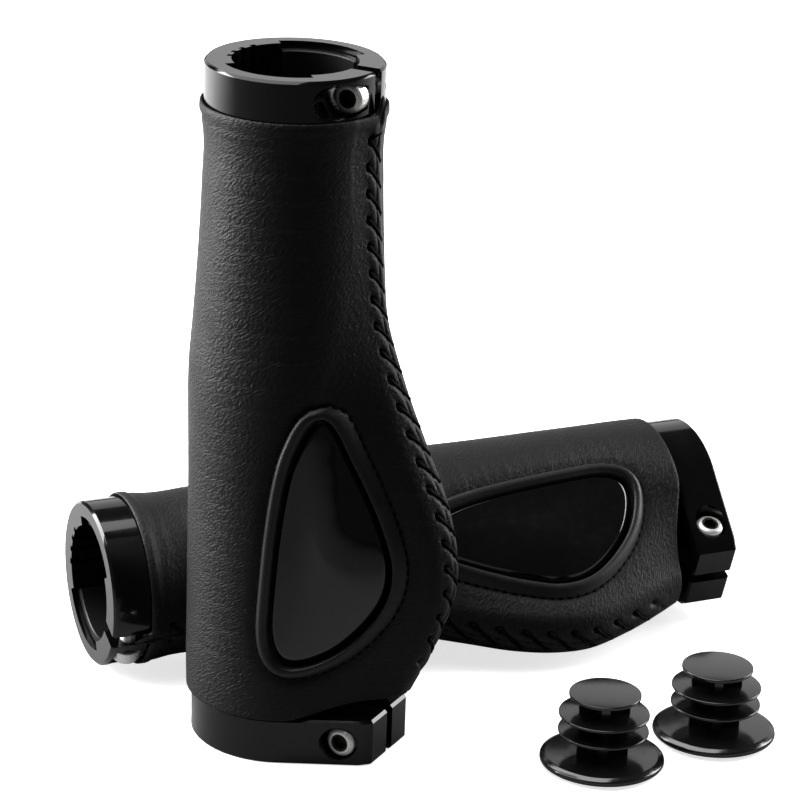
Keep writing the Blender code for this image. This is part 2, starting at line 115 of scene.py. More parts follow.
# Pad outline: distance out along the wing and from the cover's outboard edge
PAD_OUTLINE = (
    (13.8, 58.8),
    (10.2, 53.0),
    (8.0, 42.5),
    (6.6, 27.0),
    (6.4, 15.5),
    (9.6, 11.0),
    (17.0, 14.0),
    (24.0, 22.5),
    (26.0, 30.5),
    (23.6, 39.5),
    (18.4, 50.5),
)
OUTLINE_STEPS = 12  # from one point of the outline to the next
PAD_CROWN = 1.6
PAD_DEPTH = 3.0
RIM_WIDTH = 2.0
RIM_PROUD = 0.6
RIM_LAP = 0.25  # of the rim over the window's cut edge

# Lacing
STITCH_REACH = 2.3
LACING_END = 3.7

# Clamp rings
INBOARD_SLOT_OFFSET = -0.8
RING_CHAMFER = 0.5
KEY_HALF_ANGLE = 42.0
KEY_SIDE_ANGLE = 1.5
TAB_SETBACK = 1.3
EAR_REACH = 6.0
EAR_HALF_WIDTH = 6.8
EAR_BEVEL = 1.7
EAR_TANGENT_ANGLE = 64.0
NOTCH_ANGLES = (-21.0, -7.0, 7.0, 21.0)
NOTCH_WIDTH = 1.2
NOTCH_DEPTH = 0.8
AWAY_FROM_PAD = [("right", "inboard")]  # the ring whose screw enters from the side away from the pad

# M3 socket head screws
SCREW_DIAMETER = 3.0
SCREW_PITCH = 0.5
HEAD_DIAMETER = 5.5
HEAD_HEIGHT = 3.0
HEX_ACROSS_FLATS = 2.5
HEX_DEPTH = 1.6
SOCKET_MOUTH = 1.74
CROWN = 0.8
COUNTERBORE_DIAMETER = 6.5
THREAD_DEPTH = 0.3
KNURL_DEPTH = 0.07
KNURL_RIDGES = 32
# A screw's reach beyond the ring's land, its seat from the slot's middle, and its length under the head
OUTBOARD_SCREW = (6.2, 6.6, 12.0)
INBOARD_SCREW = (2.1, 3.4, 10.0)

# Bar end plugs
PLUG_FIN_THICKNESS = 0.7
PLUG_FIN_HEIGHTS = (6.9, 10.35)
PLUG_EDGE = 0.16
PLUG_HEAD_HEIGHT = 2.4
PLUG_HEIGHT = 14.5
PLUG_RIB_SPAN = 9.5
PLUG_RIB_THICKNESS = 1.6


# ---- what a user would change ----


def length(name, description, default_mm):
    return FloatProperty(name=name, description=description, default=default_mm * MM, unit="LENGTH")


def colour(name, description, default):
    return StringProperty(name=name, description=description, default=default)


class GripSizes(bpy.types.PropertyGroup):
    """Sizes of one grip."""

    bar: length("Bar diameter", "The handlebar that the grip clamps on", 22.2)
    leather: length("Leather thickness", "Thickness of the hide", 1.0)
    wing: length("Wing reach", "How far the palm wing stands out beyond the barrel", 17.1)
    thread: length("Thread diameter", "Thickness of the waxed lacing thread", 0.7)
    pitch: length("Stitch pitch", "Distance from one lacing stitch to the next", 4.85)
    groove: length("Stitch groove", "How deep a lacing stitch pulls into the leather", 0.42)


class RingSizes(bpy.types.PropertyGroup):
    """Sizes of the clamp rings and plugs."""

    inboard_wall: length("Inboard ring wall", "Wall of the ring at the inner end", 4.8)
    outboard_wall: length("Outboard ring wall", "Wall of the ring at the outer end", 5.6)
    inboard_slot: length("Inboard slot", "Width of the saw cut in the inboard ring", 2.8)
    outboard_slot: length("Outboard slot", "Width of the saw cut in the outboard ring", 2.2)
    edge: length("Edge break", "Radius of the broken edges on the rings", 0.16)
    plug_head: length("Plug head", "Diameter of a bar end plug's head", 23.4)
    plug_fin: length("Plug fins", "Diameter of a bar end plug's fins", 17.0)
    plug_tip: length("Plug tip", "Diameter of a bar end plug's tip disc", 13.5)


class GripColours(bpy.types.PropertyGroup):
    """Colours of the finishes, as sRGB hex values."""

    leather: colour("Leather", "Dyed top-grain hide", "#0b0b0c")
    # Rubbed leather is real wear on the turned edges and the rim's patches, and a painted highlight on the
    # lacing's raised folds.
    worn_and_highlight: colour("Rubbed leather", "Where folds and edges have been burnished", "#191919")
    gel: colour("Gel pad", "Glossy skin of the palm pad", "#070708")
    rubber: colour("Rubber", "Moulded body under the leather", "#1c1c1c")
    thread: colour("Thread", "Waxed lacing thread", "#040404")
    nylon: colour("Nylon", "Moulded core tube", "#121213")
    anodised: colour("Anodising", "Dyed oxide on the clamp rings", "#0c0c0d")
    steel: colour("Screw steel", "Tumbled stainless steel", "#efedea")
    scratched: colour("Scratched steel", "Handling scratches on the screws", "#cfccc9")
    # The hex socket's two colours are a painted shade for the recess: near black, with a lighter mottle.
    socket: colour("Hex socket", "Oil and dirt in the sockets", "#0a0807")
    socket_shade_mottle: colour("Torn steel", "Broached steel in the sockets", "#2a2220")
    plug: colour("Plug plastic", "Moulded plug", "#0f0f10")
    floor: colour("Floor", "Paper sweep", "#fafafa")
    fibres: colour("Fibres", "Mottle of the paper", "#f6f6f6")


# ---- derived sizes, in mm ----


class Build:
    """Every size that the pieces share, worked out from the sidebar and from the frame."""

    def __init__(self, scene):
        sizes, rings = scene.grip_sizes, scene.ring_sizes
        self.leather = sizes.leather / MM
        self.wing = sizes.wing / MM
        self.thread = sizes.thread / MM
        self.pitch = sizes.pitch / MM
        self.groove = sizes.groove / MM
        self.edge = rings.edge
        bar = sizes.bar / MM
        self.bore = bar / 2 + BAR_CLEARANCE
        self.core = self.bore + CORE_WALL
        self.land = bar / 2 + LAND_CLEARANCE
        self.key = self.core + GAP
        self.thinnest = self.core + GAP + BODY_WALL + GAP + self.leather
        low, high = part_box("left_outboard_clamp")
        self.outboard_width = (high[2] - low[2]) / MM
        low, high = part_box("left_inboard_clamp")
        self.inboard_width = (high[2] - low[2]) / MM
        self.length = (high[2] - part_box("left_outboard_clamp")[0][2]) / MM
        self.cover_start = self.outboard_width + GAP
        self.cover_end = self.length - self.inboard_width - GAP
        self.cover = self.cover_end - self.cover_start
        self.rings = {
            "outboard": Ring(0.0, self.outboard_width, self.land, rings.outboard_wall / MM, True),
            "inboard": Ring(
                self.length - self.inboard_width, self.length, self.land, rings.inboard_wall / MM, False
            ),
        }
        self.rings["outboard"].cut(rings.outboard_slot / MM, 0.0, OUTBOARD_SCREW)
        self.rings["inboard"].cut(rings.inboard_slot / MM, INBOARD_SLOT_OFFSET, INBOARD_SCREW)
        self.ear_end = self.rings["outboard"].radius + EAR_REACH


class Ring:
    """One clamp ring: where it is along the grip, its outer radius, its slot and its screw."""

    def __init__(self, low, high, land, wall, ears):
        self.low, self.high, self.land, self.ears = low, high, land, ears
        self.radius = land + wall

    def cut(self, slot_width, slot_offset, screw):
        """Places the slot, and the screw by its reach, seat and length."""
        reach, self.seat, self.screw_length = screw
        self.slot = (slot_offset - slot_width / 2, slot_offset + slot_width / 2)
        self.slot_middle = np.array((self.land + reach, slot_offset, (self.low + self.high) / 2))

    def under_head(self, toward):
        return self.slot_middle + (0, toward * (self.seat + GAP), 0)


def screw_side(hand, end):
    """+1 where a ring's screw enters from the pad's side, or -1."""
    return -1 if (hand, end) in AWAY_FROM_PAD else 1


def grip_matrix(hand, build):
    """From a grip's own millimetres to the world. The left grip's is a mirror image."""
    along = Vector(JOINTS[f"{hand}_inboard_clamp_pull"]["axis"]).normalized()
    screw = JOINTS[f"{hand}_outboard_bolt_turn"]
    pad_side = Vector(screw["axis"]).normalized()
    wing = HANDS[hand] * pad_side.cross(along).normalized()
    turn = Matrix((wing, pad_side, along)).transposed().to_4x4() @ Matrix.Scale(MM, 4)
    in_grip = turn @ Vector(build.rings["outboard"].under_head(1))
    return Matrix.Translation(Vector(screw["pos_m"]) - in_grip) @ turn


# ---- the grip's outside surface, on whole arrays ----


def smooth_through(places, values, at):
    """A smooth curve through values at places, read at other places."""
    slopes = np.gradient(values, places)
    left = np.clip(np.searchsorted(places, at, side="right") - 1, 0, len(places) - 2)
    step = places[left + 1] - places[left]
    t = np.clip((at - places[left]) / step, 0.0, 1.0)
    rise_from = values[left] * (1 + 2 * t) * (1 - t) ** 2 + slopes[left] * step * t * (1 - t) ** 2
    rise_to = values[left + 1] * t * t * (3 - 2 * t) + slopes[left + 1] * step * t * t * (t - 1)
    return rise_from + rise_to


def fade(value, start, end):
    """0 before start, 1 after end, and smooth between."""
    t = np.clip((value - start) / (end - start), 0.0, 1.0)
    return t * t * (3 - 2 * t)


def hump(value, width):
    return np.exp(-((value / width) ** 2))


def station(build, share):
    """The barrel's radius, the centre of the wing's edge and the lean of the flanks."""
    places, swells, reaches = (np.array(column) for column in zip(*PROFILE))
    radius = build.thinnest + smooth_through(places, swells, share)
    centre = radius + build.wing * smooth_through(places, reaches, share) - EDGE_RADIUS
    return radius, centre, np.arccos((radius - EDGE_RADIUS) / centre)


def surface_height(build, x, share, offset):
    """How far the pad's side of the surface stands from the wing's middle plane."""
    radius, centre, lean = station(build, share)
    big, small = radius + offset, EDGE_RADIUS + offset
    barrel = np.sqrt(np.maximum(big**2 - x**2, 0.0))
    flank = (big - x * np.cos(lean)) / np.sin(lean)
    edge = np.sqrt(np.maximum(small**2 - (x - centre) ** 2, 0.0))
    on_barrel, on_flank = x <= big * np.cos(lean), x <= centre + small * np.cos(lean)
    return np.where(on_barrel, barrel, np.where(on_flank, flank, edge))


# Columns round the cover, from the lacing's ridge round by the pad: stretch, count of columns
COLUMNS = (("near_edge", 18), ("pad_flank", 40), ("barrel", 76), ("far_flank", 26), ("far_edge", 18))


def columns():
    """Each column's stretch and its place in it, from 0 to 1."""
    names = [name for name, count in COLUMNS for _ in range(count)]
    places = [i / count for _, count in COLUMNS for i in range(count)]
    return np.array(names), np.array(places)


def around(build, names, places, share, offset):
    """Points of the offset surface at columns, and their distance from the ridge, plus on the pad's side."""
    radius, centre, lean = station(build, share)
    big, small = radius + offset, EDGE_RADIUS + offset
    flank = np.sqrt(centre**2 - (radius - EDGE_RADIUS) ** 2)
    on_near, on_far = names == "near_edge", names == "far_edge"
    edge_angle = np.where(on_near, lean * places, lean * (places - 1))
    edge_x, edge_y = centre + small * np.cos(edge_angle), small * np.sin(edge_angle)
    angle = lean + (2 * math.pi - 2 * lean) * places
    barrel_x, barrel_y = big * np.cos(angle), big * np.sin(angle)
    from_edge = np.where(names == "pad_flank", places, 1 - places)
    side = np.where((names == "pad_flank") | on_near, 1.0, -1.0)
    flank_x = centre + small * np.cos(lean) + (big - small) * np.cos(lean) * from_edge - centre * from_edge
    flank_y = side * (small * np.sin(lean) + (big - small) * np.sin(lean) * from_edge)
    on_edge, on_barrel = on_near | on_far, names == "barrel"
    x = np.where(on_edge, edge_x, np.where(on_barrel, barrel_x, flank_x))
    y = np.where(on_edge, edge_y, np.where(on_barrel, barrel_y, flank_y))
    from_ridge = np.where(on_edge, EDGE_RADIUS * edge_angle, side * (EDGE_RADIUS * lean + flank * from_edge))
    return x, y, np.where(on_barrel, 99.0, from_ridge)


# ---- pad outline ----


def smooth_outline(points, per_span):
    """A closed smooth curve through the points, anticlockwise, with even steps along it."""
    points = np.array(points, float)
    before, after, beyond = (np.roll(points, shift, axis=0) for shift in (1, -1, -2))
    curve = []
    for t in np.arange(per_span) / per_span:
        curve.append(
            0.5
            * (
                2 * points
                + (after - before) * t
                + (2 * before - 5 * points + 4 * after - beyond) * t**2
                + (3 * points - before - 3 * after + beyond) * t**3
            )
        )
    dense = np.stack(curve, axis=1).reshape(-1, 2)
    closed = np.vstack([dense, dense[:1]])
    run = np.concatenate([[0], np.cumsum(np.linalg.norm(np.diff(closed, axis=0), axis=1))])
    even = np.linspace(0, run[-1], len(dense), endpoint=False)
    return np.stack([np.interp(even, run, closed[:, axis]) for axis in (0, 1)], axis=1)


def grown(outline, distance):
    """The outline moved outwards by a distance."""
    along = np.roll(outline, -1, axis=0) - np.roll(outline, 1, axis=0)
    outwards = np.stack([along[:, 1], -along[:, 0]], axis=1)
    return outline + outwards / np.linalg.norm(outwards, axis=1, keepdims=True) * distance


def distance_outside(outline, x, along):
    """How far points lie outside the outline, below 0 inside it."""
    places = np.stack([x.ravel(), along.ravel()], axis=1)
    apart = np.linalg.norm(places[:, None, :] - outline[None, :, :], axis=2)
    nearest = apart.argmin(axis=1)
    step = np.roll(outline, -1, axis=0) - np.roll(outline, 1, axis=0)
    outwards = np.stack([step[:, 1], -step[:, 0]], axis=1)[nearest]
    side = np.sign(((places - outline[nearest]) * outwards).sum(axis=1))
    return (apart.min(axis=1) * side).reshape(x.shape)


# ---- meshes and objects ----


def new_object(name, data):
    made = bpy.data.objects.new(name, data)
    bpy.context.scene.collection.objects.link(made)
    return made


def skinned(rows, closed=False, capped=True):
    """(points, faces) of a skin through equal loops of points. Closed joins the last loop to the first."""
    rows = [np.asarray(row, float) for row in rows]
    count, width = len(rows), len(rows[0])
    faces = []
    for i in range(count if closed else count - 1):
        low, high = i * width, (i + 1) % count * width
        for j in range(width):
            k = (j + 1) % width
            faces.append((low + j, low + k, high + k, high + j))
    if capped and not closed:
        faces.append(tuple(range(width - 1, -1, -1)))
        faces.append(tuple(range((count - 1) * width, count * width)))
    return np.vstack(rows), faces


def mesh_from(name, points, faces, matrix):
    """A mesh with its faces out, from points in the grip's millimetres."""
    world = np.array(matrix)
    placed = points @ world[:3, :3].T + world[:3, 3]
    mesh = bpy.data.meshes.new(name)
    mesh.from_pydata(placed.tolist(), [], faces)
    if matrix.determinant() < 0:
        mesh.flip_normals()
    return mesh


def out_facing(mesh):
    bm = bmesh.new()
    bm.from_mesh(mesh)
    bmesh.ops.recalc_face_normals(bm, faces=bm.faces)
    bm.to_mesh(mesh)
    bm.free()


def apply_modifiers(target):
    graph = bpy.context.evaluated_depsgraph_get()
    finished = bpy.data.meshes.new_from_object(target.evaluated_get(graph))
    target.modifiers.clear()
    target.data = finished


def cut(target, cutters, operation="DIFFERENCE"):
    """Cuts or joins closed objects into the target, and removes them."""
    for cutter in cutters:
        modifier = target.modifiers.new(cutter.name, "BOOLEAN")
        modifier.operation = operation
        modifier.object = cutter
    apply_modifiers(target)
    for cutter in cutters:
        bpy.data.objects.remove(cutter)


def soften(target, width):
    """Breaks the sharp edges, as tumbling does."""
    bevel = target.modifiers.new("edge_break", "BEVEL")
    bevel.width = width
    bevel.segments = 2
    bevel.limit_method = "ANGLE"
    bevel.angle_limit = math.radians(30)
    bevel.use_clamp_overlap = True
    bevel.harden_normals = False
    apply_modifiers(target)


def smooth(target, angle=35):
    target.data.shade_smooth()
    target.data.set_sharp_from_angle(angle=math.radians(angle))


def keep_faces_flat(target):
    """Lets the large faces set the shading, so that a machined face stays flat up to its broken edge."""
    weighted = target.modifiers.new("flat_faces", "WEIGHTED_NORMAL")
    weighted.mode = "FACE_AREA"
    weighted.weight = 100
    weighted.keep_sharp = True
    apply_modifiers(target)


def finish_piece(piece, body, paint, nodes):
    """Gives a piece its finish, the body it moves with and the solids it stands for."""
    piece.data.materials.clear()
    piece.data.materials.append(paint)
    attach(piece, body)
    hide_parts(*nodes)


def solid_object(name, points, faces, matrix):
    mesh = mesh_from(name, points, faces, matrix)
    out_facing(mesh)
    return new_object(name, mesh)


def arc(radius, start, end, count):
    """Points on a circle from one angle in degrees to another, both included."""
    angles = np.radians(np.linspace(start, end, count))
    return np.stack([radius * np.cos(angles), radius * np.sin(angles)], axis=1)


def levels(outline, heights):
    """The same plan outline at several heights."""
    return [np.column_stack([outline, np.full(len(outline), height)]) for height in heights]


def sector(inner, outer, middle, half_angle, low, high):
    """A stretch of a tube's wall round an angle."""
    count = 3 + int(half_angle / 2)
    start, end = middle - half_angle, middle + half_angle
    plan = np.vstack([arc(outer, start, end, count), arc(inner, end, start, count)])
    return skinned(levels(plan, (low, high)))


def rounded(profile, radius):
    """A (radius, height) profile with each inner corner that has room turned into an arc."""
    profile = [np.array(point, float) for point in profile]
    smoothed = [profile[0]]
    for before, here, after in zip(profile, profile[1:], profile[2:]):
        back, ahead = before - here, after - here
        room = min(np.linalg.norm(back), np.linalg.norm(ahead)) * 0.45
        reach = min(radius, room)
        start = here + back / np.linalg.norm(back) * reach
        end = here + ahead / np.linalg.norm(ahead) * reach
        for t in np.linspace(0, 1, 4):
            smoothed.append(start * (1 - t) ** 2 + 2 * here * t * (1 - t) + end * t**2)
    smoothed.append(profile[-1])
    return smoothed


def turned(profile, segments):
    """(points, faces) of a profile turned round Z. It starts and ends on the axis."""
    inner = profile[1:-1]
    turns = arc(1.0, 0, 360 - 360 / segments, segments)
    rows = [np.column_stack([turns * radius, np.full(segments, height)]) for radius, height in inner]
    points, faces = skinned(rows, capped=False)
    first, last = len(points), len(points) + 1
    top = (len(rows) - 1) * segments
    for j in range(segments):
        k = (j + 1) % segments
        faces.append((first, k, j))
        faces.append((last, top + j, top + k))
    poles = [(0.0, 0.0, profile[0][1]), (0.0, 0.0, profile[-1][1])]
    return np.vstack([points, poles]), faces


def along_y(points, at, toward):
    """Points made along Z, turned to run along Y, towards +Y or -Y, from the point at."""
    return np.column_stack([points[:, 0], toward * points[:, 2], -toward * points[:, 1]]) + at


# ---- leather cover ----

COVER_ROWS = 250
INNER_ROWS = 40
LIP_RADIUS = 0.34
HEM_RISE = 0.13  # of the turned edge at the inboard ring
COLLAR_RISE = 0.6  # of the leather round the foot of the inboard ring
LIP_STEPS = 4
LIP_WEAR = 0.8
VALLEY = ((0.55, 1.1), (0.35, 4.5))  # depth and width of the dish round the rim, close and wide
SEAM_TIP = (3.4, 0.5, 0.6)  # length, thickness and half width of the point where the seam ends

# How the lacing works the leather, in mm: half widths of the marks, and how far each goes in or out
GROOVE_WIDTH = 0.45
GROOVE_FADE = 0.4
HOLE_DEPTH = 1.9  # times the groove's
HOLE_WIDTH = 0.5
HOLE_LENGTH = 0.62
FOLD_RISE = 0.16
FOLD_FROM_RIDGE = 1.1
FOLD_WIDTH = 1.0
PULL_DEPTH = 0.08
PULL_FROM_RIDGE = 3.4
PULL_WIDTH = 1.6
BUTT_DEPTH = 0.3  # of the line where the two edges meet
BUTT_WIDTH = 0.28
THINNEST = 0.15  # of the leather's thickness, left under a mark


def pucker(build, from_ridge, along):
    """How far the lacing pulls the leather in (below 0) or gathers it up (above 0)."""
    across = np.abs(from_ridge)
    down = (build.cover - LACING_END - along) / build.pitch
    turn = down - (STITCH_REACH - from_ridge) / (2 * STITCH_REACH)
    to_stitch = (turn - np.round(turn)) * build.pitch * math.sqrt(0.5)
    to_hole = (down - np.round(down)) * build.pitch
    beyond = np.maximum(across - STITCH_REACH, 0.0)
    groove = -build.groove * hump(to_stitch, GROOVE_WIDTH) * hump(beyond, GROOVE_FADE)
    needle = hump(across - STITCH_REACH, HOLE_WIDTH) * hump(to_hole, HOLE_LENGTH)
    hole = -HOLE_DEPTH * build.groove * needle
    between = 0.5 - 0.5 * np.cos(2 * math.pi * turn)
    fold = FOLD_RISE * between * hump(across - FOLD_FROM_RIDGE, FOLD_WIDTH)
    pulled = -PULL_DEPTH * hump(across - PULL_FROM_RIDGE, PULL_WIDTH)
    butted = -BUTT_DEPTH * hump(across, BUTT_WIDTH)
    stitches = math.floor((build.cover - 2 * LACING_END - CLAMP_LIFT) / build.pitch)
    ends = fade(down, -0.75, -0.25) * (1 - fade(down, stitches + 0.5, stitches + 1.0))
    return np.maximum((groove + hole + fold + pulled) * ends + butted, (THINNEST - 1) * build.leather)


def hand_waves(share, from_ridge, hand):
    """The slight unevenness of hide drawn by hand over a moulded body."""
    shift = 1.3 * HANDS[hand]
    slow = np.sin(9.0 * share + shift) * np.sin(0.21 * from_ridge + shift)
    quick = np.sin(31.0 * share - shift) * np.sin(0.47 * from_ridge + 2 * shift)
    return 0.05 * slow + 0.025 * quick


def cover_rows(build, hand, inner):
    """The cover's loops, outside or inside, as arrays of points, with the painted highlight on the lacing's
    raised folds at each.
    """
    names, places = columns()
    count = INNER_ROWS if inner else COVER_ROWS
    shares = np.linspace(0, 1, count + 1)[:, None] * np.ones(len(names))
    offset = np.full_like(shares, -build.leather if inner else 0.0)
    x, y, from_ridge = around(build, names, places, shares, offset)
    lift = CLAMP_LIFT * fade(x, build.thinnest / 2, build.ear_end)
    rising = (1 - np.clip(shares / 0.13, 0, 1)) ** 2
    along = build.cover * shares + lift * rising
    share = np.clip(along / build.cover, 0, 1)
    fold_highlight = np.zeros_like(share)
    tip_length, tip_thickness, tip_width = SEAM_TIP
    tip = hump(from_ridge, tip_width) * fade(shares, 0.97, 1.0)
    if not inner:
        x, y, from_ridge = around(build, names, places, share, offset)
        outline = grown(smooth_outline(PAD_OUTLINE, OUTLINE_STEPS), GAP + RIM_WIDTH)
        outside = np.where(y > 0, distance_outside(outline, x, along), 99.0)
        (close_depth, close_width), (wide_depth, wide_width) = VALLEY
        close = hump(np.maximum(outside - 0.1, 0.0), close_width)
        valley = -close_depth * close - wide_depth * hump(outside, wide_width)
        puckers = pucker(build, from_ridge, along)
        to_edge = build.cover - along
        hem = HEM_RISE * (hump(to_edge - 0.6, 0.5) - 0.9 * hump(to_edge - 1.8, 0.5))
        offset = offset + valley + puckers + hem + hand_waves(share, from_ridge, hand)
        offset = offset + tip_thickness * tip
        # The raised folds between stitches take the lighter colour: a painted highlight where the lit folds
        # catch the light.
        fold_highlight = np.clip(puckers / 0.35, 0, 1)
        x, y, _ = around(build, names, places, share, offset)
    else:
        x, y, _ = around(build, names, places, share, offset + tip_thickness * tip)
    along = along + tip_length * tip
    return np.stack([x, y, build.cover_start + along], axis=2), fold_highlight


def lip(rows, end):
    """Rounds the outside over onto the cut edge, at the first or the last loop."""
    edge = rows[0] if end == "first" else rows[-1]
    heading = -1.0 if end == "first" else 1.0
    inward = edge * (-1, -1, 0)
    inward /= np.linalg.norm(inward, axis=1, keepdims=True)
    loops = []
    for angle in np.linspace(0, math.pi / 2, LIP_STEPS + 1)[1:]:
        loop = edge + inward * LIP_RADIUS * (1 - math.cos(angle))
        rise = LIP_RADIUS * (math.sin(angle) - 0.3) + (COLLAR_RISE if end == "last" else 0.0)
        loop = loop + np.array((0, 0, heading * rise))
        loops.append(loop)
    return loops, [np.full(len(edge), LIP_WEAR)] * len(loops)


def leather_shell(build, hand, matrix):
    """The closed leather shell, with its place on the hide in a UV map, and in an attribute its wear on the
    turned edges and a painted highlight on the lacing's raised folds.
    """
    outer, fold_highlight = cover_rows(build, hand, inner=False)
    inner, _ = cover_rows(build, hand, inner=True)
    first, first_wear = lip(outer, "first")
    last, last_wear = lip(outer, "last")
    loops = first[::-1] + list(outer) + last + list(inner[::-1])
    wear_and_highlight = first_wear[::-1] + list(fold_highlight) + last_wear + [np.zeros(outer.shape[1])] * len(inner)
    points, faces = skinned(loops, closed=True)
    mesh = mesh_from(f"{hand}_cover", points, faces, matrix)
    attribute = mesh.attributes.new("wear_and_highlight", "FLOAT", "POINT")
    attribute.data.foreach_set("value", np.concatenate(wear_and_highlight).astype(np.float32))
    stack = np.stack(loops)
    step = np.linalg.norm(np.roll(stack, -1, axis=1) - stack, axis=2)
    run = np.concatenate([np.zeros((len(stack), 1)), np.cumsum(step, axis=1)], axis=1)
    rows = stack[:, :, 2].mean(axis=1)
    width = outer.shape[1]
    corners = []
    for i in range(len(stack)):
        j = np.arange(width)
        k = (i + 1) % len(stack)
        corners.append(
            np.stack(
                [
                    np.column_stack([run[i, j], np.full(width, rows[i])]),
                    np.column_stack([run[i, j + 1], np.full(width, rows[i])]),
                    np.column_stack([run[k, j + 1], np.full(width, rows[k])]),
                    np.column_stack([run[k, j], np.full(width, rows[k])]),
                ],
                axis=1,
            )
        )
    hide = np.concatenate(corners) * HIDE_SCALE
    if matrix.determinant() < 0:
        hide = np.roll(hide[:, ::-1], 1, axis=1)
    layer = mesh.uv_layers.new(name="hide")
    layer.data.foreach_set("uv", hide.astype(np.float32).ravel())
    return new_object(f"{hand}_cover", mesh)


def window_cutter(build, matrix):
    outline = grown(smooth_outline(PAD_OUTLINE, OUTLINE_STEPS), GAP + RIM_WIDTH - RIM_LAP)
    loops = [
        np.column_stack([outline[:, 0], np.full(len(outline), y), build.cover_start + outline[:, 1]])
        for y in (EDGE_RADIUS / 3, build.thinnest * 2)
    ]
    return solid_object("window", *skinned(loops), matrix)


# ---- pad, rim and their stitching ----


def on_surface(build, outline, offset):
    """Points of an outline laid on the grip's surface at an offset."""
    height = surface_height(build, outline[:, 0], outline[:, 1] / build.cover, offset)
    return np.column_stack([outline[:, 0], height, build.cover_start + outline[:, 1]])


def pad_shell(build, name, matrix):
    """A crowned pad that turns down into the groove inside its rim."""
    outline = smooth_outline(PAD_OUTLINE, OUTLINE_STEPS)
    middle = outline.mean(axis=0)
    edge = on_surface(build, outline, 0.0)
    top = edge[:, 1].mean() + 0.35
    loops = []
    for share in np.concatenate([[0.04], np.linspace(0.1, 0.9, 14), np.linspace(0.92, 1.0, 7)]):
        laid = middle + (outline - middle) * share
        height = top + (edge[:, 1] - top) * share**2 + PAD_CROWN * (1 - share**2)
        height = height - 1.1 * fade(share, 0.9, 1.0) ** 2
        loops.append(np.column_stack([laid[:, 0], height, build.cover_start + laid[:, 1]]))
    under = [on_surface(build, middle + (outline - middle) * share, -PAD_DEPTH) for share in (1.0, 0.5, 0.04)]
    return solid_object(name, *skinned(loops + under), matrix)


def rim_shell(build, name, matrix):
    """A rolled leather band round the pad: steep towards the pad, and sinking into a valley outside."""
    outline = smooth_outline(PAD_OUTLINE, OUTLINE_STEPS)
    section = rounded(
        [
            (-0.05, -build.leather),
            (0.0, -0.2),
            (0.3, RIM_PROUD),
            (1.25, RIM_PROUD + 0.12),
            (2.0, 0.1),
            (RIM_WIDTH + 0.45, -0.62),
            (RIM_WIDTH + 0.2, -build.leather),
        ],
        0.6,
    )
    loops = [on_surface(build, grown(outline, GAP + reach), offset) for reach, offset in section]
    return solid_object(name, *skinned(loops, closed=True), matrix)


def capsule_at(centre, heading, half, radius):
    """A short rounded stitch lying along a heading."""
    profile = [(0, -half), (radius * 0.7, -half * 0.86), (radius, -half * 0.4), (radius, half * 0.4)]
    profile += [(radius * 0.7, half * 0.86), (0, half)]
    points, faces = turned(profile, 6)
    turn = np.array(Vector((0, 0, 1)).rotation_difference(Vector(heading)).to_matrix())
    return points @ turn.T + centre, faces


def rim_stitches(build, name, matrix):
    """Small stitches in the valley round the rim, one to every stitch hole of the sewn edge."""
    spacing, half = 1.9, 0.62
    outline = grown(smooth_outline(PAD_OUTLINE, OUTLINE_STEPS), GAP + RIM_WIDTH + 0.42)
    route = on_surface(build, outline, -0.5)
    closed = np.vstack([route, route[:1]])
    run = np.concatenate([[0], np.cumsum(np.linalg.norm(np.diff(closed, axis=0), axis=1))])
    count = int(run[-1] / spacing)
    points, faces = [], []
    for centre_run in (np.arange(count) + 0.5) * run[-1] / count:
        place = [np.interp(centre_run, run, closed[:, axis]) for axis in range(3)]
        ahead = [np.interp(centre_run + 0.2, run, closed[:, axis]) for axis in range(3)]
        stitch, sides = capsule_at(np.array(place), np.array(ahead) - place, half, 0.2)
        start = sum(len(part) for part in points)
        points.append(stitch)
        faces += [tuple(corner + start for corner in side) for side in sides]
    return solid_object(name, np.vstack(points), faces, matrix)


# ---- lacing ----


def ridge_point(build, across, along, offset):
    """A point at a distance round the wing's edge from its ridge."""
    _, centre, lean = station(build, np.clip(along / build.cover, 0, 1))
    angle = abs(across) / EDGE_RADIUS
    small = EDGE_RADIUS + offset
    x = centre + small * math.cos(min(angle, lean))
    y = small * math.sin(min(angle, lean))
    beyond = max(angle - lean, 0.0) * EDGE_RADIUS
    return x - beyond * math.sin(lean), math.copysign(y + beyond * math.cos(lean), across)


# One whip stitch: distance across as a share of the reach, share of the pitch down, height over the leather
# and thickness as a share of the thread's
WHIP_STITCH = (
    (1.0, 0.0, -0.95, 1.5),
    (0.93, 0.05, -0.34, 1.5),
    (0.66, 0.18, -0.22, 0.95),
    (0.0, 0.5, -0.02, 0.8),
    (-0.66, 0.82, -0.22, 0.95),
    (-0.93, 0.95, -0.34, 1.5),
    (-1.0, 1.0, -0.95, 1.5),
    (0.0, 1.0, -1.3, 0.8),
)
THREAD_TAIL = ((0.5, -0.3, 0.9, 0.5), (0.75, -0.16, 0.2, 0.8))


def lacing_curve(build, name, matrix):
    stitches = int((build.cover - 2 * LACING_END - CLAMP_LIFT) / build.pitch)
    knots = list(THREAD_TAIL)
    for stitch in range(stitches):
        knots += [(across, down + stitch, *rest) for across, down, *rest in WHIP_STITCH]
    route = []
    for across, down, height, thickness in knots[:-1]:
        along = build.cover - LACING_END - down * build.pitch
        x, y = ridge_point(build, across * STITCH_REACH, along, height)
        route.append((matrix @ Vector((x, y, build.cover_start + along)), thickness))
    curve = bpy.data.curves.new(name, "CURVE")
    curve.dimensions = "3D"
    curve.bevel_depth = build.thread / 2 * MM * 0.93
    curve.bevel_resolution = 3
    curve.use_fill_caps = True
    curve.resolution_u = 3
    spline = curve.splines.new("BEZIER")
    spline.bezier_points.add(len(route) - 1)
    for point, (place, thickness) in zip(spline.bezier_points, route):
        point.co = place
        point.radius = thickness
        point.handle_left_type = point.handle_right_type = "AUTO"
    return new_object(name, curve)


# ---- core tube ----


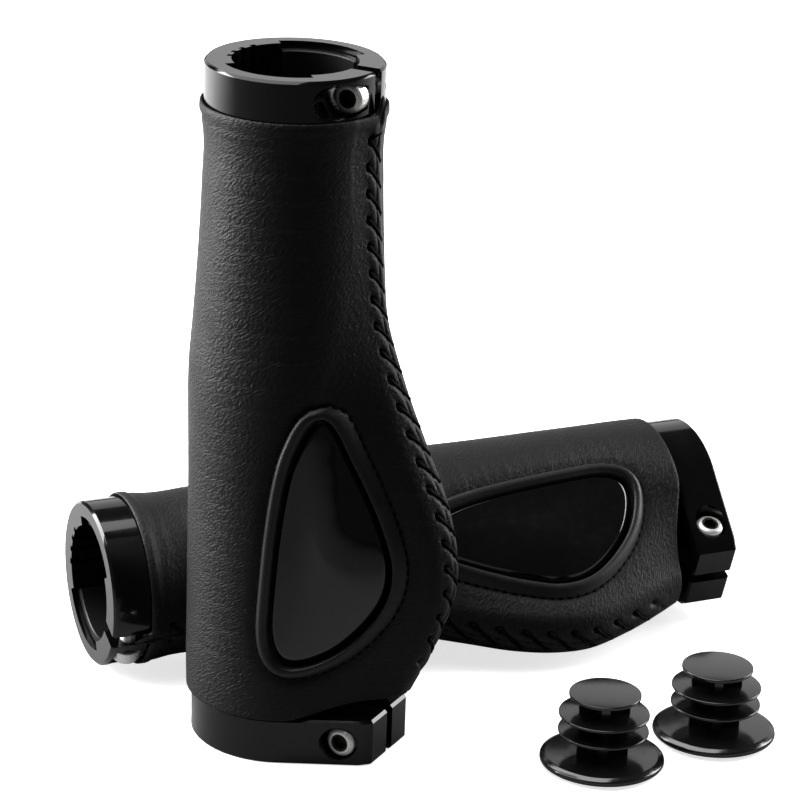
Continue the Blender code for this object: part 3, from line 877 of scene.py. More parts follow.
def core_object(build, name, matrix):
    low, high = TAB_SETBACK, build.length - TAB_SETBACK
    count, bevel = 144, 0.2
    loops = []
    for radius, height in (
        (build.core, low + bevel),
        (build.core, high - bevel),
        (build.core - bevel, high),
        (build.bore + bevel, high),
        (build.bore, high - bevel),
        (build.bore, low + bevel),
        (build.bore + bevel, low),
        (build.core - bevel, low),
    ):
        loops += levels(arc(radius, 0, 360 - 360 / count, count), (height,))
    core = solid_object(name, *skinned(loops, closed=True), matrix)
    clear = 90.0 - KEY_HALF_ANGLE + KEY_SIDE_ANGLE
    inner, outer = build.bore - CORE_WALL, build.core + CORE_WALL
    cutters = []
    for index, middle in enumerate((0, 180)):
        for start, end in ((low - 1, build.cover_start), (build.cover_end, high + 1)):
            shape = sector(inner, outer, middle, clear, start, end)
            cutters.append(solid_object(f"land_cut_{index}_{start:.0f}", *shape, matrix))
    cut(core, cutters)
    return core


# ---- clamp rings ----

RING_SEGMENTS = 160


def ear_outline(build, radius, inset):
    angle = math.radians(EAR_TANGENT_ANGLE)
    end, half = build.ear_end - inset, EAR_HALF_WIDTH - inset / 2
    shoulder = end - EAR_BEVEL
    reach = radius * math.cos(angle)
    flank = radius * math.sin(angle) - (shoulder - reach) / math.tan(angle)
    round_part = arc(radius, EAR_TANGENT_ANGLE, 360 - EAR_TANGENT_ANGLE, RING_SEGMENTS * 3 // 4)
    ears = [(shoulder, -flank), (end, -half), (end, half), (shoulder, flank)]
    return np.vstack([round_part, ears])


def ring_outline(build, ring, inset):
    if ring.ears:
        return ear_outline(build, ring.radius - inset, inset)
    return arc(ring.radius - inset, 0, 360 - 360 / RING_SEGMENTS, RING_SEGMENTS)


def ring_object(build, name, ring, toward, matrix):
    blank = []
    for height, inset in (
        (ring.low, RING_CHAMFER),
        (ring.low + RING_CHAMFER, 0.0),
        (ring.high - RING_CHAMFER, 0.0),
        (ring.high, RING_CHAMFER),
    ):
        blank += levels(ring_outline(build, ring, inset), (height,))
    clamp = solid_object(name, *skinned(blank), matrix)
    below, above = ring.low - 1, ring.high + 1
    bore = skinned(levels(arc(ring.land, 0.7, 360.7 - 360 / RING_SEGMENTS, RING_SEGMENTS), (below, above)))
    shapes = {"bore": bore}
    for middle in (90, 270):
        shapes[f"key_{middle}"] = sector(ring.land - 2, build.key, middle, KEY_HALF_ANGLE, below, above)
    notch_half = math.degrees(NOTCH_WIDTH / 2 / ring.land)
    for angle in NOTCH_ANGLES:
        shapes[f"notch_{angle:.0f}"] = sector(
            ring.land - 1, ring.land + NOTCH_DEPTH, 180 + angle, notch_half, below, above
        )
    slot_low, slot_high = ring.slot
    start, end = ring.land - 2, build.ear_end + 2
    plan = np.array([(start, slot_low), (end, slot_low), (end, slot_high), (start, slot_high)])
    shapes["slot"] = skinned(levels(plan, (below, above)))
    hole_end, mouth = ring.seat - ring.screw_length - 2 * GAP, ring.radius + 2
    bores = {
        "screw_hole": (SCREW_DIAMETER / 2 + GAP, hole_end, ring.seat + 1),
        "counterbore": (COUNTERBORE_DIAMETER / 2, ring.seat, mouth),
    }
    for key, (radius, start, end) in bores.items():
        hole, faces = turned([(0, start), (radius, start), (radius, end), (0, end)], 64)
        shapes[key] = (along_y(hole, ring.slot_middle, toward), faces)
    cut(clamp, [solid_object(f"{name}_{key}", *shape, matrix) for key, shape in shapes.items()])
    soften(clamp, build.edge)
    return clamp


# ---- screws ----


def screw_object(name, ring, toward, matrix):
    """A socket head cap screw: knurled head with a rounded crown, hex socket and a rolled thread."""
    head, shank, end = HEAD_DIAMETER / 2, SCREW_DIAMETER / 2, -ring.screw_length
    heights = np.arange(end + 0.4, -0.3, 0.1)
    profile = [(0, end), (shank - 0.35, end), (shank - 0.2, end + 0.2)]
    profile += [(shank, height) for height in heights]
    profile += [(shank, -0.1), (head - 0.15, 0.0), (head, 0.15)]
    profile += [(head, height) for height in np.linspace(0.4, HEAD_HEIGHT - 0.95, 4)]
    turns = np.linspace(0, math.pi / 2, 9)
    crown = [
        (SOCKET_MOUTH + (head - SOCKET_MOUTH) * math.cos(turn), HEAD_HEIGHT - CROWN * (1 - math.sin(turn)))
        for turn in turns
    ]
    crown += [(1.5, HEAD_HEIGHT - 0.12), (0, HEAD_HEIGHT - 0.12)]
    points, faces = turned(profile + crown, 128)
    radius = np.hypot(points[:, 0], points[:, 1])
    angle = np.arctan2(points[:, 1], points[:, 0])
    threaded = (points[:, 2] < -0.25) & (points[:, 2] > end + 0.3) & (radius > 1)
    turn = points[:, 2] / SCREW_PITCH - angle / (2 * math.pi)
    depth = THREAD_DEPTH * np.abs(2 * (turn - np.floor(turn)) - 1) * threaded
    knurled = (points[:, 2] > 0.3) & (points[:, 2] < HEAD_HEIGHT - 0.9) & (radius > head - 0.01)
    depth = depth + KNURL_DEPTH * (np.cos(KNURL_RIDGES * angle) < 0) * knurled
    keep = np.where(radius > 0, (radius - depth) / np.maximum(radius, 1e-6), 1.0)
    points[:, :2] *= keep[:, None]
    place = ring.under_head(toward)
    screw = solid_object(name, along_y(points, place, toward), faces, matrix)
    hex_radius = HEX_ACROSS_FLATS / 2 / math.cos(math.pi / 6)
    bottom = HEAD_HEIGHT - HEX_DEPTH
    socket, faces = skinned(levels(arc(hex_radius, 15, 315, 6), (bottom, HEAD_HEIGHT + 1)))
    cut(screw, [solid_object(f"{name}_socket", along_y(socket, place, toward), faces, matrix)])
    return screw


def paint_socket_shade(screw, matrix, under_head, toward):
    """Paints the walls and floor of the hex socket near black: a painted shade for the recess."""
    screw.data.materials.append(paint("socket_painted_shade"))
    to_grip = matrix.inverted()
    for face in screw.data.polygons:
        x, y, z = np.array(to_grip @ face.center) - under_head
        inside = HEAD_HEIGHT - HEX_DEPTH - 0.05 < toward * y < HEAD_HEIGHT - 0.01
        face.material_index = int(inside and math.hypot(x, z) < SOCKET_MOUTH)


# ---- plugs ----


def plug_object(name, scene):
    """A push-in plug standing on its head, with two fins, a tip disc and cross ribs."""
    rings = scene.ring_sizes
    head, fin, tip = rings.plug_head / MM / 2, rings.plug_fin / MM / 2, rings.plug_tip / MM / 2
    low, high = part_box(name)
    foot = Vector(((low[0] + high[0]) / 2, (low[1] + high[1]) / 2, low[2]))
    place = Matrix.Translation(foot) @ Matrix.Scale(MM, 4)
    stem = PLUG_RIB_THICKNESS
    profile = [(0, 0), (head * 0.8, 0), (head - 0.25, 0.75), (head, 1.15), (head - 0.12, 1.75)]
    profile += [(head - 1.1, PLUG_HEAD_HEIGHT - 0.15), (head * 0.55, PLUG_HEAD_HEIGHT)]
    profile += [(stem, PLUG_HEAD_HEIGHT)]
    for height in PLUG_FIN_HEIGHTS:
        low, high = height - PLUG_FIN_THICKNESS / 2, height + PLUG_FIN_THICKNESS / 2
        profile += [(stem, low), (fin, low + 0.1), (fin, high - 0.1), (stem, high + 0.15)]
    low = PLUG_HEIGHT - PLUG_FIN_THICKNESS
    profile += [(stem, low), (tip, low + 0.05), (tip, PLUG_HEIGHT), (0, PLUG_HEIGHT)]
    plug = solid_object(name + "_moulding", *turned(rounded(profile, PLUG_EDGE), 128), place)
    half, thin = PLUG_RIB_SPAN / 2, PLUG_RIB_THICKNESS / 2
    low, high = PLUG_HEAD_HEIGHT - 0.5, PLUG_HEIGHT - PLUG_FIN_THICKNESS / 2
    ribs = []
    for axis, (x, y) in {"x": (half, thin), "y": (thin, half)}.items():
        plan = np.array([(-x, -y), (x, -y), (x, y), (-x, y)])
        ribs.append(solid_object(f"{name}_rib_{axis}", *skinned(levels(plan, (low, high))), place))
    cut(plug, ribs, "UNION")
    return plug


# ---- materials ----

HIDE_SCALE = 0.01  # UV units to a millimetre of hide
PER_MM = 1000.0  # object coordinates are metres, and the patterns are sized in millimetres
WHITE, BLACK = (1.0, 1.0, 1.0, 1.0), (0.0, 0.0, 0.0, 1.0)


def linear(hex_colour):
    """An sRGB hex colour as linear RGBA."""
    channels = [int(hex_colour[i : i + 2], 16) / 255 for i in (1, 3, 5)]
    return (*((c / 12.92 if c <= 0.04045 else ((c + 0.055) / 1.055) ** 2.4) for c in channels), 1.0)


def add_node(tree, kind, options=(), values=(), links=()):
    """Adds a node, with its options, its sockets' values and the sockets that feed it."""
    made = tree.nodes.new(kind)
    for name, value in dict(options).items():
        setattr(made, name, value)
    for socket, value in dict(values).items():
        made.inputs[socket].default_value = value
    for socket, source in dict(links).items():
        tree.links.new(source, made.inputs[socket])
    return made


def new_material(name, values):
    """A material with only a Principled shader, its constants set on its own sockets."""
    made = bpy.data.materials.new(name)
    made.use_nodes = True
    tree = made.node_tree
    tree.nodes.clear()
    shader = add_node(tree, "ShaderNodeBsdfPrincipled", values=values)
    add_node(tree, "ShaderNodeOutputMaterial", links={"Surface": shader.outputs["BSDF"]})
    return made, tree, shader


def in_mm(tree, scale=(1.0, 1.0, 1.0)):
    """Object coordinates in millimetres, times a scale."""
    place = add_node(tree, "ShaderNodeTexCoord")
    return add_node(
        tree,
        "ShaderNodeMapping",
        values={"Scale": tuple(PER_MM * s for s in scale)},
        links={"Vector": place.outputs["Object"]},
    ).outputs["Vector"]


def on_hide(tree, size, turn=0.0):
    """Places on the hide from its UV map, where size is (across, along) a mark, in mm, turned by degrees."""
    place = add_node(tree, "ShaderNodeUVMap", options={"uv_map": "hide"})
    laid = add_node(
        tree,
        "ShaderNodeMapping",
        values={"Rotation": (0, 0, math.radians(turn))},
        links={"Vector": place.outputs["UV"]},
    )
    return add_node(
        tree,
        "ShaderNodeMapping",
        values={"Scale": (1 / HIDE_SCALE / size[0], 1 / HIDE_SCALE / size[1], 1.0)},
        links={"Vector": laid.outputs["Vector"]},
    ).outputs["Vector"]


def noise(tree, vector, detail=2.0, roughness=0.5, distortion=0.0):
    return add_node(
        tree,
        "ShaderNodeTexNoise",
        values={"Scale": 1.0, "Detail": detail, "Roughness": roughness, "Distortion": distortion},
        links={"Vector": vector},
    ).outputs["Fac"]


def ranged(tree, value, low, high, to_low, to_high):
    """A value's stretch from low to high, moved to another range and held inside it."""
    return add_node(
        tree,
        "ShaderNodeMapRange",
        values={"From Min": low, "From Max": high, "To Min": to_low, "To Max": to_high},
        links={"Value": value},
    ).outputs["Result"]


def bump(tree, height, depth_mm, below=None):
    """Relief of a depth in mm, over any relief below it."""
    links = {"Height": height}
    if below is not None:
        links["Normal"] = below
    values = {"Distance": depth_mm * MM, "Strength": 1.0}
    return add_node(tree, "ShaderNodeBump", values=values, links=links).outputs["Normal"]


def blend_colours(tree, factor, first, second):
    mixed = add_node(
        tree,
        "ShaderNodeMix",
        options={"data_type": "RGBA"},
        values={"A": first, "B": second},
        links={"Factor": factor},
    )
    return mixed.outputs["Result"]


def top_grain_leather(colours):
    """Drum-dyed top-grain hide, pressed and lightly finished: satin, with drawn creases and fine pores."""
    made, tree, shader = new_material("top_grain_leather_satin", {"IOR": 1.5, "Specular IOR Level": 0.2})
    crease = noise(tree, on_hide(tree, (1.0, 0.42), 33), detail=2.0, distortion=0.35)
    crease = ranged(tree, crease, 0.32, 0.68, 0.0, 1.0)
    pores = add_node(
        tree,
        "ShaderNodeTexVoronoi",
        options={"feature": "SMOOTH_F1"},
        values={"Scale": 1.0, "Smoothness": 0.6, "Randomness": 1.0},
        links={"Vector": on_hide(tree, (0.62, 0.62))},
    ).outputs["Distance"]
    patches = noise(tree, on_hide(tree, (7.0, 11.0), 30), detail=3.0)
    # Lighter towards the rubbed colour: real wear on the turned edges, and a painted highlight on the
    # lacing's raised folds.
    wear_and_highlight = add_node(tree, "ShaderNodeAttribute", options={"attribute_name": "wear_and_highlight"}).outputs["Fac"]
    base = blend_colours(tree, wear_and_highlight, linear(colours.leather), linear(colours.worn_and_highlight))
    dark = blend_colours(tree, ranged(tree, patches, 0.35, 0.65, 0.0, 0.22), WHITE, BLACK)
    tone = add_node(
        tree,
        "ShaderNodeMix",
        options={"data_type": "RGBA", "blend_type": "MULTIPLY"},
        values={"Factor": 1.0},
        links={"A": base, "B": dark},
    ).outputs["Result"]
    tree.links.new(tone, shader.inputs["Base Color"])
    tree.links.new(ranged(tree, patches, 0.3, 0.7, 0.46, 0.56), shader.inputs["Roughness"])
    fine = bump(tree, pores, 0.035)
    drawn = bump(tree, crease, 0.075, below=fine)
    tree.links.new(drawn, shader.inputs["Normal"])
    return made


def rolled_rim_leather(colours):
    """The same hide skived thin and rolled over a cord: tighter grain, burnished smoother."""
    made, tree, shader = new_material("rolled_rim_leather", {"IOR": 1.5, "Specular IOR Level": 0.35})
    grain = noise(tree, in_mm(tree, (2.2, 2.2, 2.2)), detail=3.0, roughness=0.6)
    patches = noise(tree, in_mm(tree, (0.2, 0.2, 0.2)))
    colour_out = blend_colours(
        tree, ranged(tree, patches, 0.35, 0.7, 0.0, 0.5), linear(colours.leather), linear(colours.worn_and_highlight)
    )
    tree.links.new(colour_out, shader.inputs["Base Color"])
    tree.links.new(ranged(tree, grain, 0.3, 0.7, 0.36, 0.46), shader.inputs["Roughness"])
    tree.links.new(bump(tree, grain, 0.05), shader.inputs["Normal"])
    return made


def poured_gel(colours):
    """Poured polyurethane gel with a clear skin: deep gloss, with the faint flow of a poured skin."""
    made, tree, shader = new_material(
        "poured_gel_gloss",
        {"IOR": 1.5, "Specular IOR Level": 0.5, "Coat Weight": 0.2, "Coat Roughness": 0.03},
    )
    flow = noise(tree, in_mm(tree, (0.12, 0.12, 0.12)), detail=1.0)
    haze = noise(tree, in_mm(tree, (0.5, 0.5, 0.5)), detail=4.0)
    cloudy = ranged(tree, haze, 0.4, 0.7, 0.0, 0.4)
    skin = blend_colours(tree, cloudy, linear(colours.gel), linear(colours.plug))
    tree.links.new(skin, shader.inputs["Base Color"])
    tree.links.new(ranged(tree, haze, 0.35, 0.7, 0.06, 0.1), shader.inputs["Roughness"])
    tree.links.new(bump(tree, flow, 0.12), shader.inputs["Normal"])
    return made


def moulded_rubber(colours):
    """Moulded TPR: matt, with the fine grain of a blasted mould."""
    made, tree, shader = new_material("moulded_rubber_matt", {"IOR": 1.5, "Specular IOR Level": 0.35})
    grain = noise(tree, in_mm(tree, (4.0, 4.0, 4.0)), detail=3.0)
    tree.links.new(
        blend_colours(tree, grain, linear(colours.rubber), linear(colours.nylon)), shader.inputs["Base Color"]
    )
    tree.links.new(ranged(tree, grain, 0.3, 0.7, 0.72, 0.86), shader.inputs["Roughness"])
    tree.links.new(bump(tree, grain, 0.06), shader.inputs["Normal"])
    return made


def waxed_thread(colours):
    """Twisted polyester drawn through wax: dull black, with plies every 0.9 mm that catch a thin light."""
    made, tree, shader = new_material("waxed_twisted_thread", {"IOR": 1.45, "Specular IOR Level": 0.05})
    plies = add_node(
        tree,
        "ShaderNodeTexWave",
        options={"wave_type": "BANDS", "bands_direction": "DIAGONAL", "wave_profile": "SIN"},
        values={"Scale": 0.35, "Distortion": 0.6, "Detail": 1.0},
        links={"Vector": in_mm(tree)},
    ).outputs["Fac"]
    tree.links.new(
        blend_colours(tree, plies, linear(colours.gel), linear(colours.thread)), shader.inputs["Base Color"]
    )
    tree.links.new(ranged(tree, plies, 0.0, 1.0, 0.7, 0.58), shader.inputs["Roughness"])
    tree.links.new(bump(tree, plies, 0.08), shader.inputs["Normal"])
    return made


def moulded_nylon(colours):
    """Injection-moulded glass-filled nylon: black satin with a fine flow mottle."""
    made, tree, shader = new_material("moulded_nylon_satin", {"IOR": 1.53, "Specular IOR Level": 0.2})
    mottle = noise(tree, in_mm(tree, (1.4, 1.4, 1.4)), detail=4.0, roughness=0.6)
    tree.links.new(
        blend_colours(tree, mottle, linear(colours.plug), linear(colours.gel)), shader.inputs["Base Color"]
    )
    tree.links.new(ranged(tree, mottle, 0.3, 0.7, 0.34, 0.48), shader.inputs["Roughness"])
    tree.links.new(bump(tree, mottle, 0.02), shader.inputs["Normal"])
    return made


def anodised_aluminium(colours):
    """Machined 6061, polished and black anodised: a dyed oxide over metal, glossy, with faint tool lines."""
    made, tree, shader = new_material(
        "anodised_aluminium_black",
        {
            "Metallic": 0.55,
            "Specular IOR Level": 0.3,
            "Coat Weight": 0.35,
            "Coat Roughness": 0.04,
            "Coat IOR": 1.55,
        },
    )
    # Tool lines are 0.1 mm apart on the real ring, and drawn at 0.4 mm so that they show.
    lines = noise(tree, in_mm(tree, (0.25, 0.25, 2.5)), detail=2.0)
    cloud = noise(tree, in_mm(tree, (0.3, 0.3, 0.3)), detail=3.0)
    dyed = blend_colours(tree, cloud, linear(colours.anodised), linear(colours.nylon))
    tree.links.new(dyed, shader.inputs["Base Color"])
    tree.links.new(ranged(tree, cloud, 0.3, 0.7, 0.1, 0.17), shader.inputs["Roughness"])
    tree.links.new(bump(tree, lines, 0.003), shader.inputs["Normal"])
    return made


def polished_steel(colours):
    """Cold-headed stainless steel, tumbled: bright and softly reflecting, with fine scratches."""
    made, tree, shader = new_material("stainless_steel_tumbled", {"Metallic": 0.6})
    scratches = noise(tree, in_mm(tree, (6.0, 1.2, 3.0)), detail=3.0, roughness=0.6)
    marked = ranged(tree, scratches, 0.3, 0.7, 0.0, 0.3)
    bright = blend_colours(tree, marked, linear(colours.steel), linear(colours.scratched))
    tree.links.new(bright, shader.inputs["Base Color"])
    tree.links.new(ranged(tree, scratches, 0.3, 0.7, 0.24, 0.38), shader.inputs["Roughness"])
    tree.links.new(bump(tree, scratches, 0.01), shader.inputs["Normal"])
    return made


def socket_painted_shade(colours):
    """The hex of a socket screw, painted near black with a lighter mottle: a painted shade for the recess."""
    made, tree, shader = new_material("hex_socket_painted_shade", {"Metallic": 0.6})
    socket_mottle = noise(tree, in_mm(tree, (3.0, 3.0, 3.0)), detail=3.0)
    hex_shade_colour = blend_colours(tree, socket_mottle, linear(colours.socket), linear(colours.socket_shade_mottle))
    tree.links.new(hex_shade_colour, shader.inputs["Base Color"])
    tree.links.new(ranged(tree, socket_mottle, 0.3, 0.7, 0.4, 0.6), shader.inputs["Roughness"])
    return made


def moulded_plug(colours):
    """Injection-moulded polyethylene from a polished tool: glossy, with slight sink and flow."""
    made, tree, shader = new_material(
        "moulded_polyethylene_gloss", {"IOR": 1.52, "Specular IOR Level": 0.8}
    )
    sink = noise(tree, in_mm(tree, (0.16, 0.16, 0.16)), detail=1.0)
    scuffs = noise(tree, in_mm(tree, (1.1, 1.1, 1.1)), detail=4.0, roughness=0.65)
    tree.links.new(
        blend_colours(tree, scuffs, linear(colours.plug), linear(colours.nylon)), shader.inputs["Base Color"]
    )
    tree.links.new(ranged(tree, scuffs, 0.35, 0.7, 0.12, 0.2), shader.inputs["Roughness"])
    tree.links.new(bump(tree, sink, 0.05), shader.inputs["Normal"])
    return made


def paper_sweep(colours):
    """A seamless paper sweep: matt and nearly white to the camera, and painted dark for every other ray,
    darkest towards the front, as painted shade in place of flags that keep its light off the pieces.
    """
    made, tree, shader = new_material("paper_sweep_white", {"Roughness": 0.95, "Specular IOR Level": 0.1})
    fibres = noise(tree, in_mm(tree, (0.02, 0.02, 0.02)))
    paper = blend_colours(tree, fibres, linear(colours.floor), linear(colours.fibres))
    place = add_node(tree, "ShaderNodeTexCoord").outputs["Object"]
    depth = add_node(tree, "ShaderNodeSeparateXYZ", links={"Vector": place}).outputs["Y"]
    # Painted shade: for every ray but the camera's the sweep is dark, darkest towards the front, standing in
    # for black flags.
    dark_for_reflections = blend_colours(tree, ranged(tree, depth, -0.15, 0.25, 0.09, 0.6), BLACK, WHITE)
    seen = add_node(tree, "ShaderNodeLightPath").outputs["Is Camera Ray"]
    mixed = add_node(
        tree,
        "ShaderNodeMix",
        options={"data_type": "RGBA"},
        links={"Factor": seen, "A": dark_for_reflections, "B": paper},
    )
    tree.links.new(mixed.outputs["Result"], shader.inputs["Base Color"])
    # A lit sweep burns out to white in the camera, so it glows for the camera alone, and most far from the
    # pieces, where a real sweep curves up behind them.
    reach = add_node(
        tree, "ShaderNodeVectorMath", options={"operation": "LENGTH"}, links={"Vector": place}
    ).outputs["Value"]
    glow = add_node(
        tree,
        "ShaderNodeMapRange",
        values={"To Min": 0.0},
        links={"Value": seen, "To Max": ranged(tree, reach, 0.3, 1.0, 0.72, 1.0)},
    ).outputs["Result"]
    shader.inputs["Emission Color"].default_value = WHITE
    tree.links.new(glow, shader.inputs["Emission Strength"])
    return made


FINISHES = {
    "leather": top_grain_leather,
    "rim_leather": rolled_rim_leather,
    "gel_pad": poured_gel,
    "rubber_body": moulded_rubber,
    "waxed_thread": waxed_thread,
    "nylon": moulded_nylon,
    "black_anodised": anodised_aluminium,
    "bolt_steel": polished_steel,
    "socket_painted_shade": socket_painted_shade,
    "plug_plastic": moulded_plug,
    "floor": paper_sweep,
}
paints = {}


def paint(slot):
    """The finish for a slot, made the first time that it is asked for."""
    if slot not in paints:
        paints[slot] = FINISHES[slot](bpy.context.scene.grip_colours)
    return paints[slot]


# ---- operators ----


class GRIPS_OT_covers(bpy.types.Operator):
    """Draw the leather over both grips, puckered along the lacing and dished round the pad"""

    bl_idname = "grips.covers"
    bl_label = "Leather covers"

    def execute(self, context):
        build = Build(context.scene)
        for hand in HANDS:
            matrix = grip_matrix(hand, build)
            cover = leather_shell(build, hand, matrix)
            cut(cover, [window_cutter(build, matrix)])
            smooth(cover, 60)
            finish_piece(cover, f"{hand}_grip", paint("leather"), [f"{hand}_leather_cover"])
        return {"FINISHED"}


class GRIPS_OT_pads(bpy.types.Operator):
    """Pour the glossy palm pads into their rims"""

    bl_idname = "grips.pads"
    bl_label = "Palm pads"

    def execute(self, context):
        build = Build(context.scene)
        for hand in HANDS:
            pad = pad_shell(build, f"{hand}_pad", grip_matrix(hand, build))
            smooth(pad, 50)
            finish_piece(pad, f"{hand}_grip", paint("gel_pad"), [f"{hand}_palm_pad"])
        return {"FINISHED"}


class GRIPS_OT_rims(bpy.types.Operator):
    """Roll the leather rim round each pad and stitch it down"""

    bl_idname = "grips.rims"
    bl_label = "Pad rims"

    def execute(self, context):
        build = Build(context.scene)
        for hand in HANDS:
            matrix = grip_matrix(hand, build)
            rim = rim_shell(build, f"{hand}_rim", matrix)
            smooth(rim, 60)
            finish_piece(rim, f"{hand}_grip", paint("rim_leather"), [f"{hand}_pad_rim"])
            stitching = rim_stitches(build, f"{hand}_rim_stitching", matrix)
            smooth(stitching, 60)
            finish_piece(stitching, f"{hand}_grip", paint("waxed_thread"), [])
        return {"FINISHED"}


class GRIPS_OT_lacing(bpy.types.Operator):
    """Whip-stitch the leather's edges together along the wing's ridge"""

    bl_idname = "grips.lacing"
    bl_label = "Seam lacing"

    def execute(self, context):
        build = Build(context.scene)
        for hand in HANDS:
            lacing = lacing_curve(build, f"{hand}_lacing", grip_matrix(hand, build))
            stands_for = [f"{hand}_seam_lacing"]
            finish_piece(lacing, f"{hand}_grip", paint("waxed_thread"), stands_for)
        return {"FINISHED"}


class GRIPS_OT_cores(bpy.types.Operator):
    """Mould the core tubes with their key tabs, and finish the rubber bodies"""

    bl_idname = "grips.cores"
    bl_label = "Core tubes and bodies"

    def execute(self, context):
        build = Build(context.scene)
        for hand in HANDS:
            core = core_object(build, f"{hand}_core", grip_matrix(hand, build))
            smooth(core)
            finish_piece(core, f"{hand}_grip", paint("nylon"), [f"{hand}_core_tube"])
            body = frame["nodes"][f"{hand}_palm_body"]
            for place in body.material_slots:
                place.material = paint("rubber_body")
        return {"FINISHED"}


RING_BODIES = {
    "left": {
        "outboard": ("left_base_clamp", "left_base_bolt"),
        "inboard": ("left_top_clamp", "left_top_bolt"),
    },
    "right": {
        "outboard": ("right_outer_clamp", "right_outer_bolt"),
        "inboard": ("right_inner_clamp", "right_inner_bolt"),
    },
}


class GRIPS_OT_rings(bpy.types.Operator):
    """Machine the four split clamp rings"""

    bl_idname = "grips.rings"
    bl_label = "Clamp rings"

    def execute(self, context):
        build = Build(context.scene)
        for hand, ends in RING_BODIES.items():
            matrix = grip_matrix(hand, build)
            for end, (body, _) in ends.items():
                toward = screw_side(hand, end)
                ring = ring_object(build, f"{hand}_{end}_ring", build.rings[end], toward, matrix)
                smooth(ring, 46)
                keep_faces_flat(ring)
                finish_piece(ring, body, paint("black_anodised"), [f"{hand}_{end}_clamp"])
        return {"FINISHED"}


class GRIPS_OT_screws(bpy.types.Operator):
    """Make the four M3 socket head screws"""

    bl_idname = "grips.screws"
    bl_label = "Clamp screws"

    def execute(self, context):
        build = Build(context.scene)
        for hand, ends in RING_BODIES.items():
            matrix = grip_matrix(hand, build)
            for end, (_, body) in ends.items():
                ring, toward = build.rings[end], screw_side(hand, end)
                screw = screw_object(f"{hand}_{end}_screw", ring, toward, matrix)
                smooth(screw)
                finish_piece(screw, body, paint("bolt_steel"), [f"{hand}_{end}_bolt"])
                paint_socket_shade(screw, matrix, ring.under_head(toward), toward)
        return {"FINISHED"}


class GRIPS_OT_plugs(bpy.types.Operator):
    """Mould the two bar end plugs"""

    bl_idname = "grips.plugs"
    bl_label = "Bar end plugs"

    def execute(self, context):
        for name in ("left_plug", "right_plug"):
            plug = plug_object(name, context.scene)
            smooth(plug, 40)
            finish_piece(plug, name, paint("plug_plastic"), [name])
        return {"FINISHED"}


# ---- stage ----

CAMERA_DISTANCE = 0.62178
CAMERA_ELEVATION = 20.089
CAMERA_ROLL = 1.987
CAMERA_AIM = (0.02056, 0.0, 0.06643)  # from the foot of the standing grip's axis
CAMERA_LENS = 152.56
FLOOR_SIZE = 8.0
LIGHTS_AIM = (0.02, 0.03, 0.06)  # from the same foot
# Name, place from the same foot, width and height, and power
LIGHTS = (
    ("overhead_soft_box", (-0.55, 0.15, 1.4), (1.6, 1.8), 38.0),
    ("left_strip", (-0.7, 0.16, 0.26), (0.45, 0.8), 22.0),
    ("right_strip", (0.9, 0.4, 0.4), (0.5, 0.7), 11.0),
    ("back_panel", (0.1, 1.6, 0.62), (2.6, 0.9), 5.5),
)


def area_light(name, at, aim, size, power):
    """A soft rectangular light that looks at a point and that the camera doesn't see."""
    data = bpy.data.lights.new(name, "AREA")
    data.shape = "RECTANGLE"
    data.size, data.size_y = size
    data.energy = power
    light = new_object(name, data)
    light.location = at
    light.rotation_euler = (aim - at).to_track_quat("-Z", "Y").to_euler()
    light.visible_camera = False
    return light


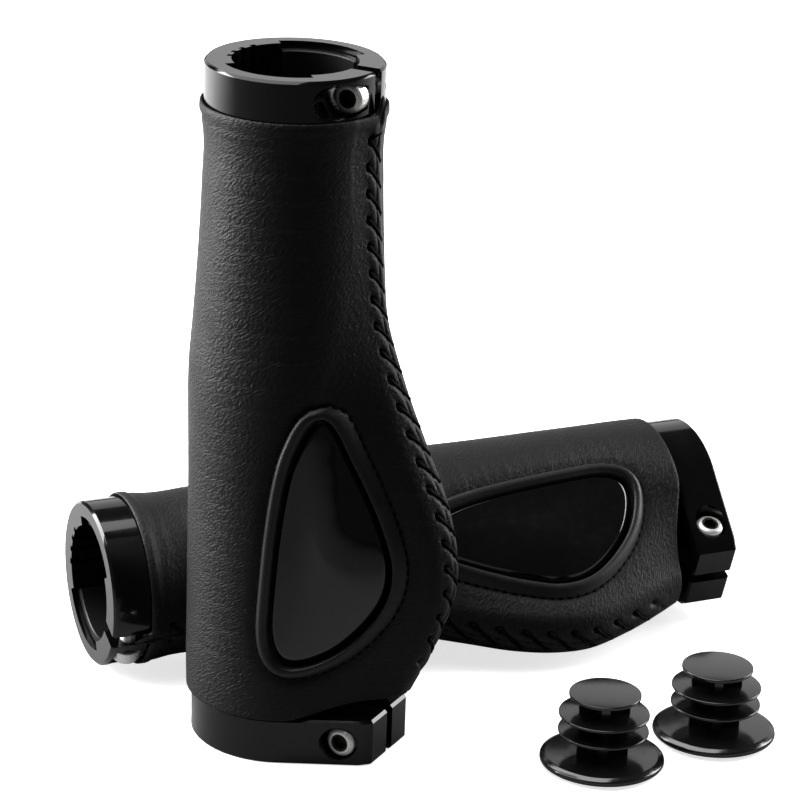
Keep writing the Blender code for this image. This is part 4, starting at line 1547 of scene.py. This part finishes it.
class GRIPS_OT_stage(bpy.types.Operator):
    """Set the pale floor, the soft lights and the camera"""

    bl_idname = "grips.stage"
    bl_label = "Stage"

    def execute(self, context):
        scene = context.scene
        low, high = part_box("left_core_tube")
        foot = Vector(((low[0] + high[0]) / 2, (low[1] + high[1]) / 2, CAD_BOX[0][2]))
        self.floor(foot)
        self.lights(foot)
        self.sky(scene)
        self.camera(scene, foot)
        scene.view_settings.view_transform = "Standard"
        return {"FINISHED"}

    def floor(self, foot):
        half = FLOOR_SIZE / 2
        mesh = bpy.data.meshes.new("floor")
        corners = [(-half, -half, 0), (half, -half, 0), (half, half, 0), (-half, half, 0)]
        mesh.from_pydata([foot + Vector(corner) for corner in corners], [], [(0, 1, 2, 3)])
        mesh.materials.append(paint("floor"))
        new_object("floor", mesh)

    def lights(self, foot):
        for name, place, size, power in LIGHTS:
            area_light(name, foot + Vector(place), foot + Vector(LIGHTS_AIM), size, power)

    def sky(self, scene):
        world = bpy.data.worlds.new("studio")
        world.use_nodes = True
        tree = world.node_tree
        tree.nodes.clear()
        seen = add_node(tree, "ShaderNodeLightPath").outputs["Is Camera Ray"]
        strength = ranged(tree, seen, 0.0, 1.0, 0.05, 1.0)
        back = add_node(
            tree, "ShaderNodeBackground", values={"Color": WHITE}, links={"Strength": strength}
        )
        add_node(tree, "ShaderNodeOutputWorld", links={"Surface": back.outputs["Background"]})
        scene.world = world

    def camera(self, scene, foot):
        tilt, roll = math.radians(CAMERA_ELEVATION), math.radians(CAMERA_ROLL)
        forward = Vector((0, math.cos(tilt), -math.sin(tilt)))
        right = Vector((1, 0, 0))
        up = right.cross(forward)
        across = math.cos(roll) * right + math.sin(roll) * up
        upright = -math.sin(roll) * right + math.cos(roll) * up
        data = bpy.data.cameras.new("camera")
        data.sensor_width = 36.0
        data.lens = CAMERA_LENS
        camera = new_object("camera", data)
        turn = Matrix((across, upright, -forward)).transposed().to_4x4()
        camera.matrix_world = Matrix.Translation(foot + Vector(CAMERA_AIM) - forward * CAMERA_DISTANCE) @ turn
        scene.camera = camera


STEPS = (
    GRIPS_OT_stage,
    GRIPS_OT_covers,
    GRIPS_OT_pads,
    GRIPS_OT_rims,
    GRIPS_OT_lacing,
    GRIPS_OT_cores,
    GRIPS_OT_rings,
    GRIPS_OT_screws,
    GRIPS_OT_plugs,
)


class GRIPS_PT_panel(bpy.types.Panel):
    """Sizes, colours and the steps that build the grips"""

    bl_idname = "GRIPS_PT_panel"
    bl_label = "Leather bar end grips"
    bl_space_type = "VIEW_3D"
    bl_region_type = "UI"
    bl_category = "Bar grips"

    def draw(self, context):
        layout = self.layout
        for group in (context.scene.grip_sizes, context.scene.ring_sizes, context.scene.grip_colours):
            box = layout.box()
            for name in group.__annotations__:
                box.prop(group, name)
        for step in STEPS:
            layout.operator(step.bl_idname)


GROUPS = {"grip_sizes": GripSizes, "ring_sizes": RingSizes, "grip_colours": GripColours}


def register():
    for name, group in GROUPS.items():
        bpy.utils.register_class(group)
        setattr(bpy.types.Scene, name, PointerProperty(type=group))
    for kind in (*STEPS, GRIPS_PT_panel):
        bpy.utils.register_class(kind)


def unregister():
    for kind in reversed((*STEPS, GRIPS_PT_panel)):
        bpy.utils.unregister_class(kind)
    for name, group in GROUPS.items():
        delattr(bpy.types.Scene, name)
        bpy.utils.unregister_class(group)


def main():
    register()
    for step in STEPS:
        group, name = step.bl_idname.split(".")
        getattr(getattr(bpy.ops, group), name)()


if __name__ == "__main__":
    main()
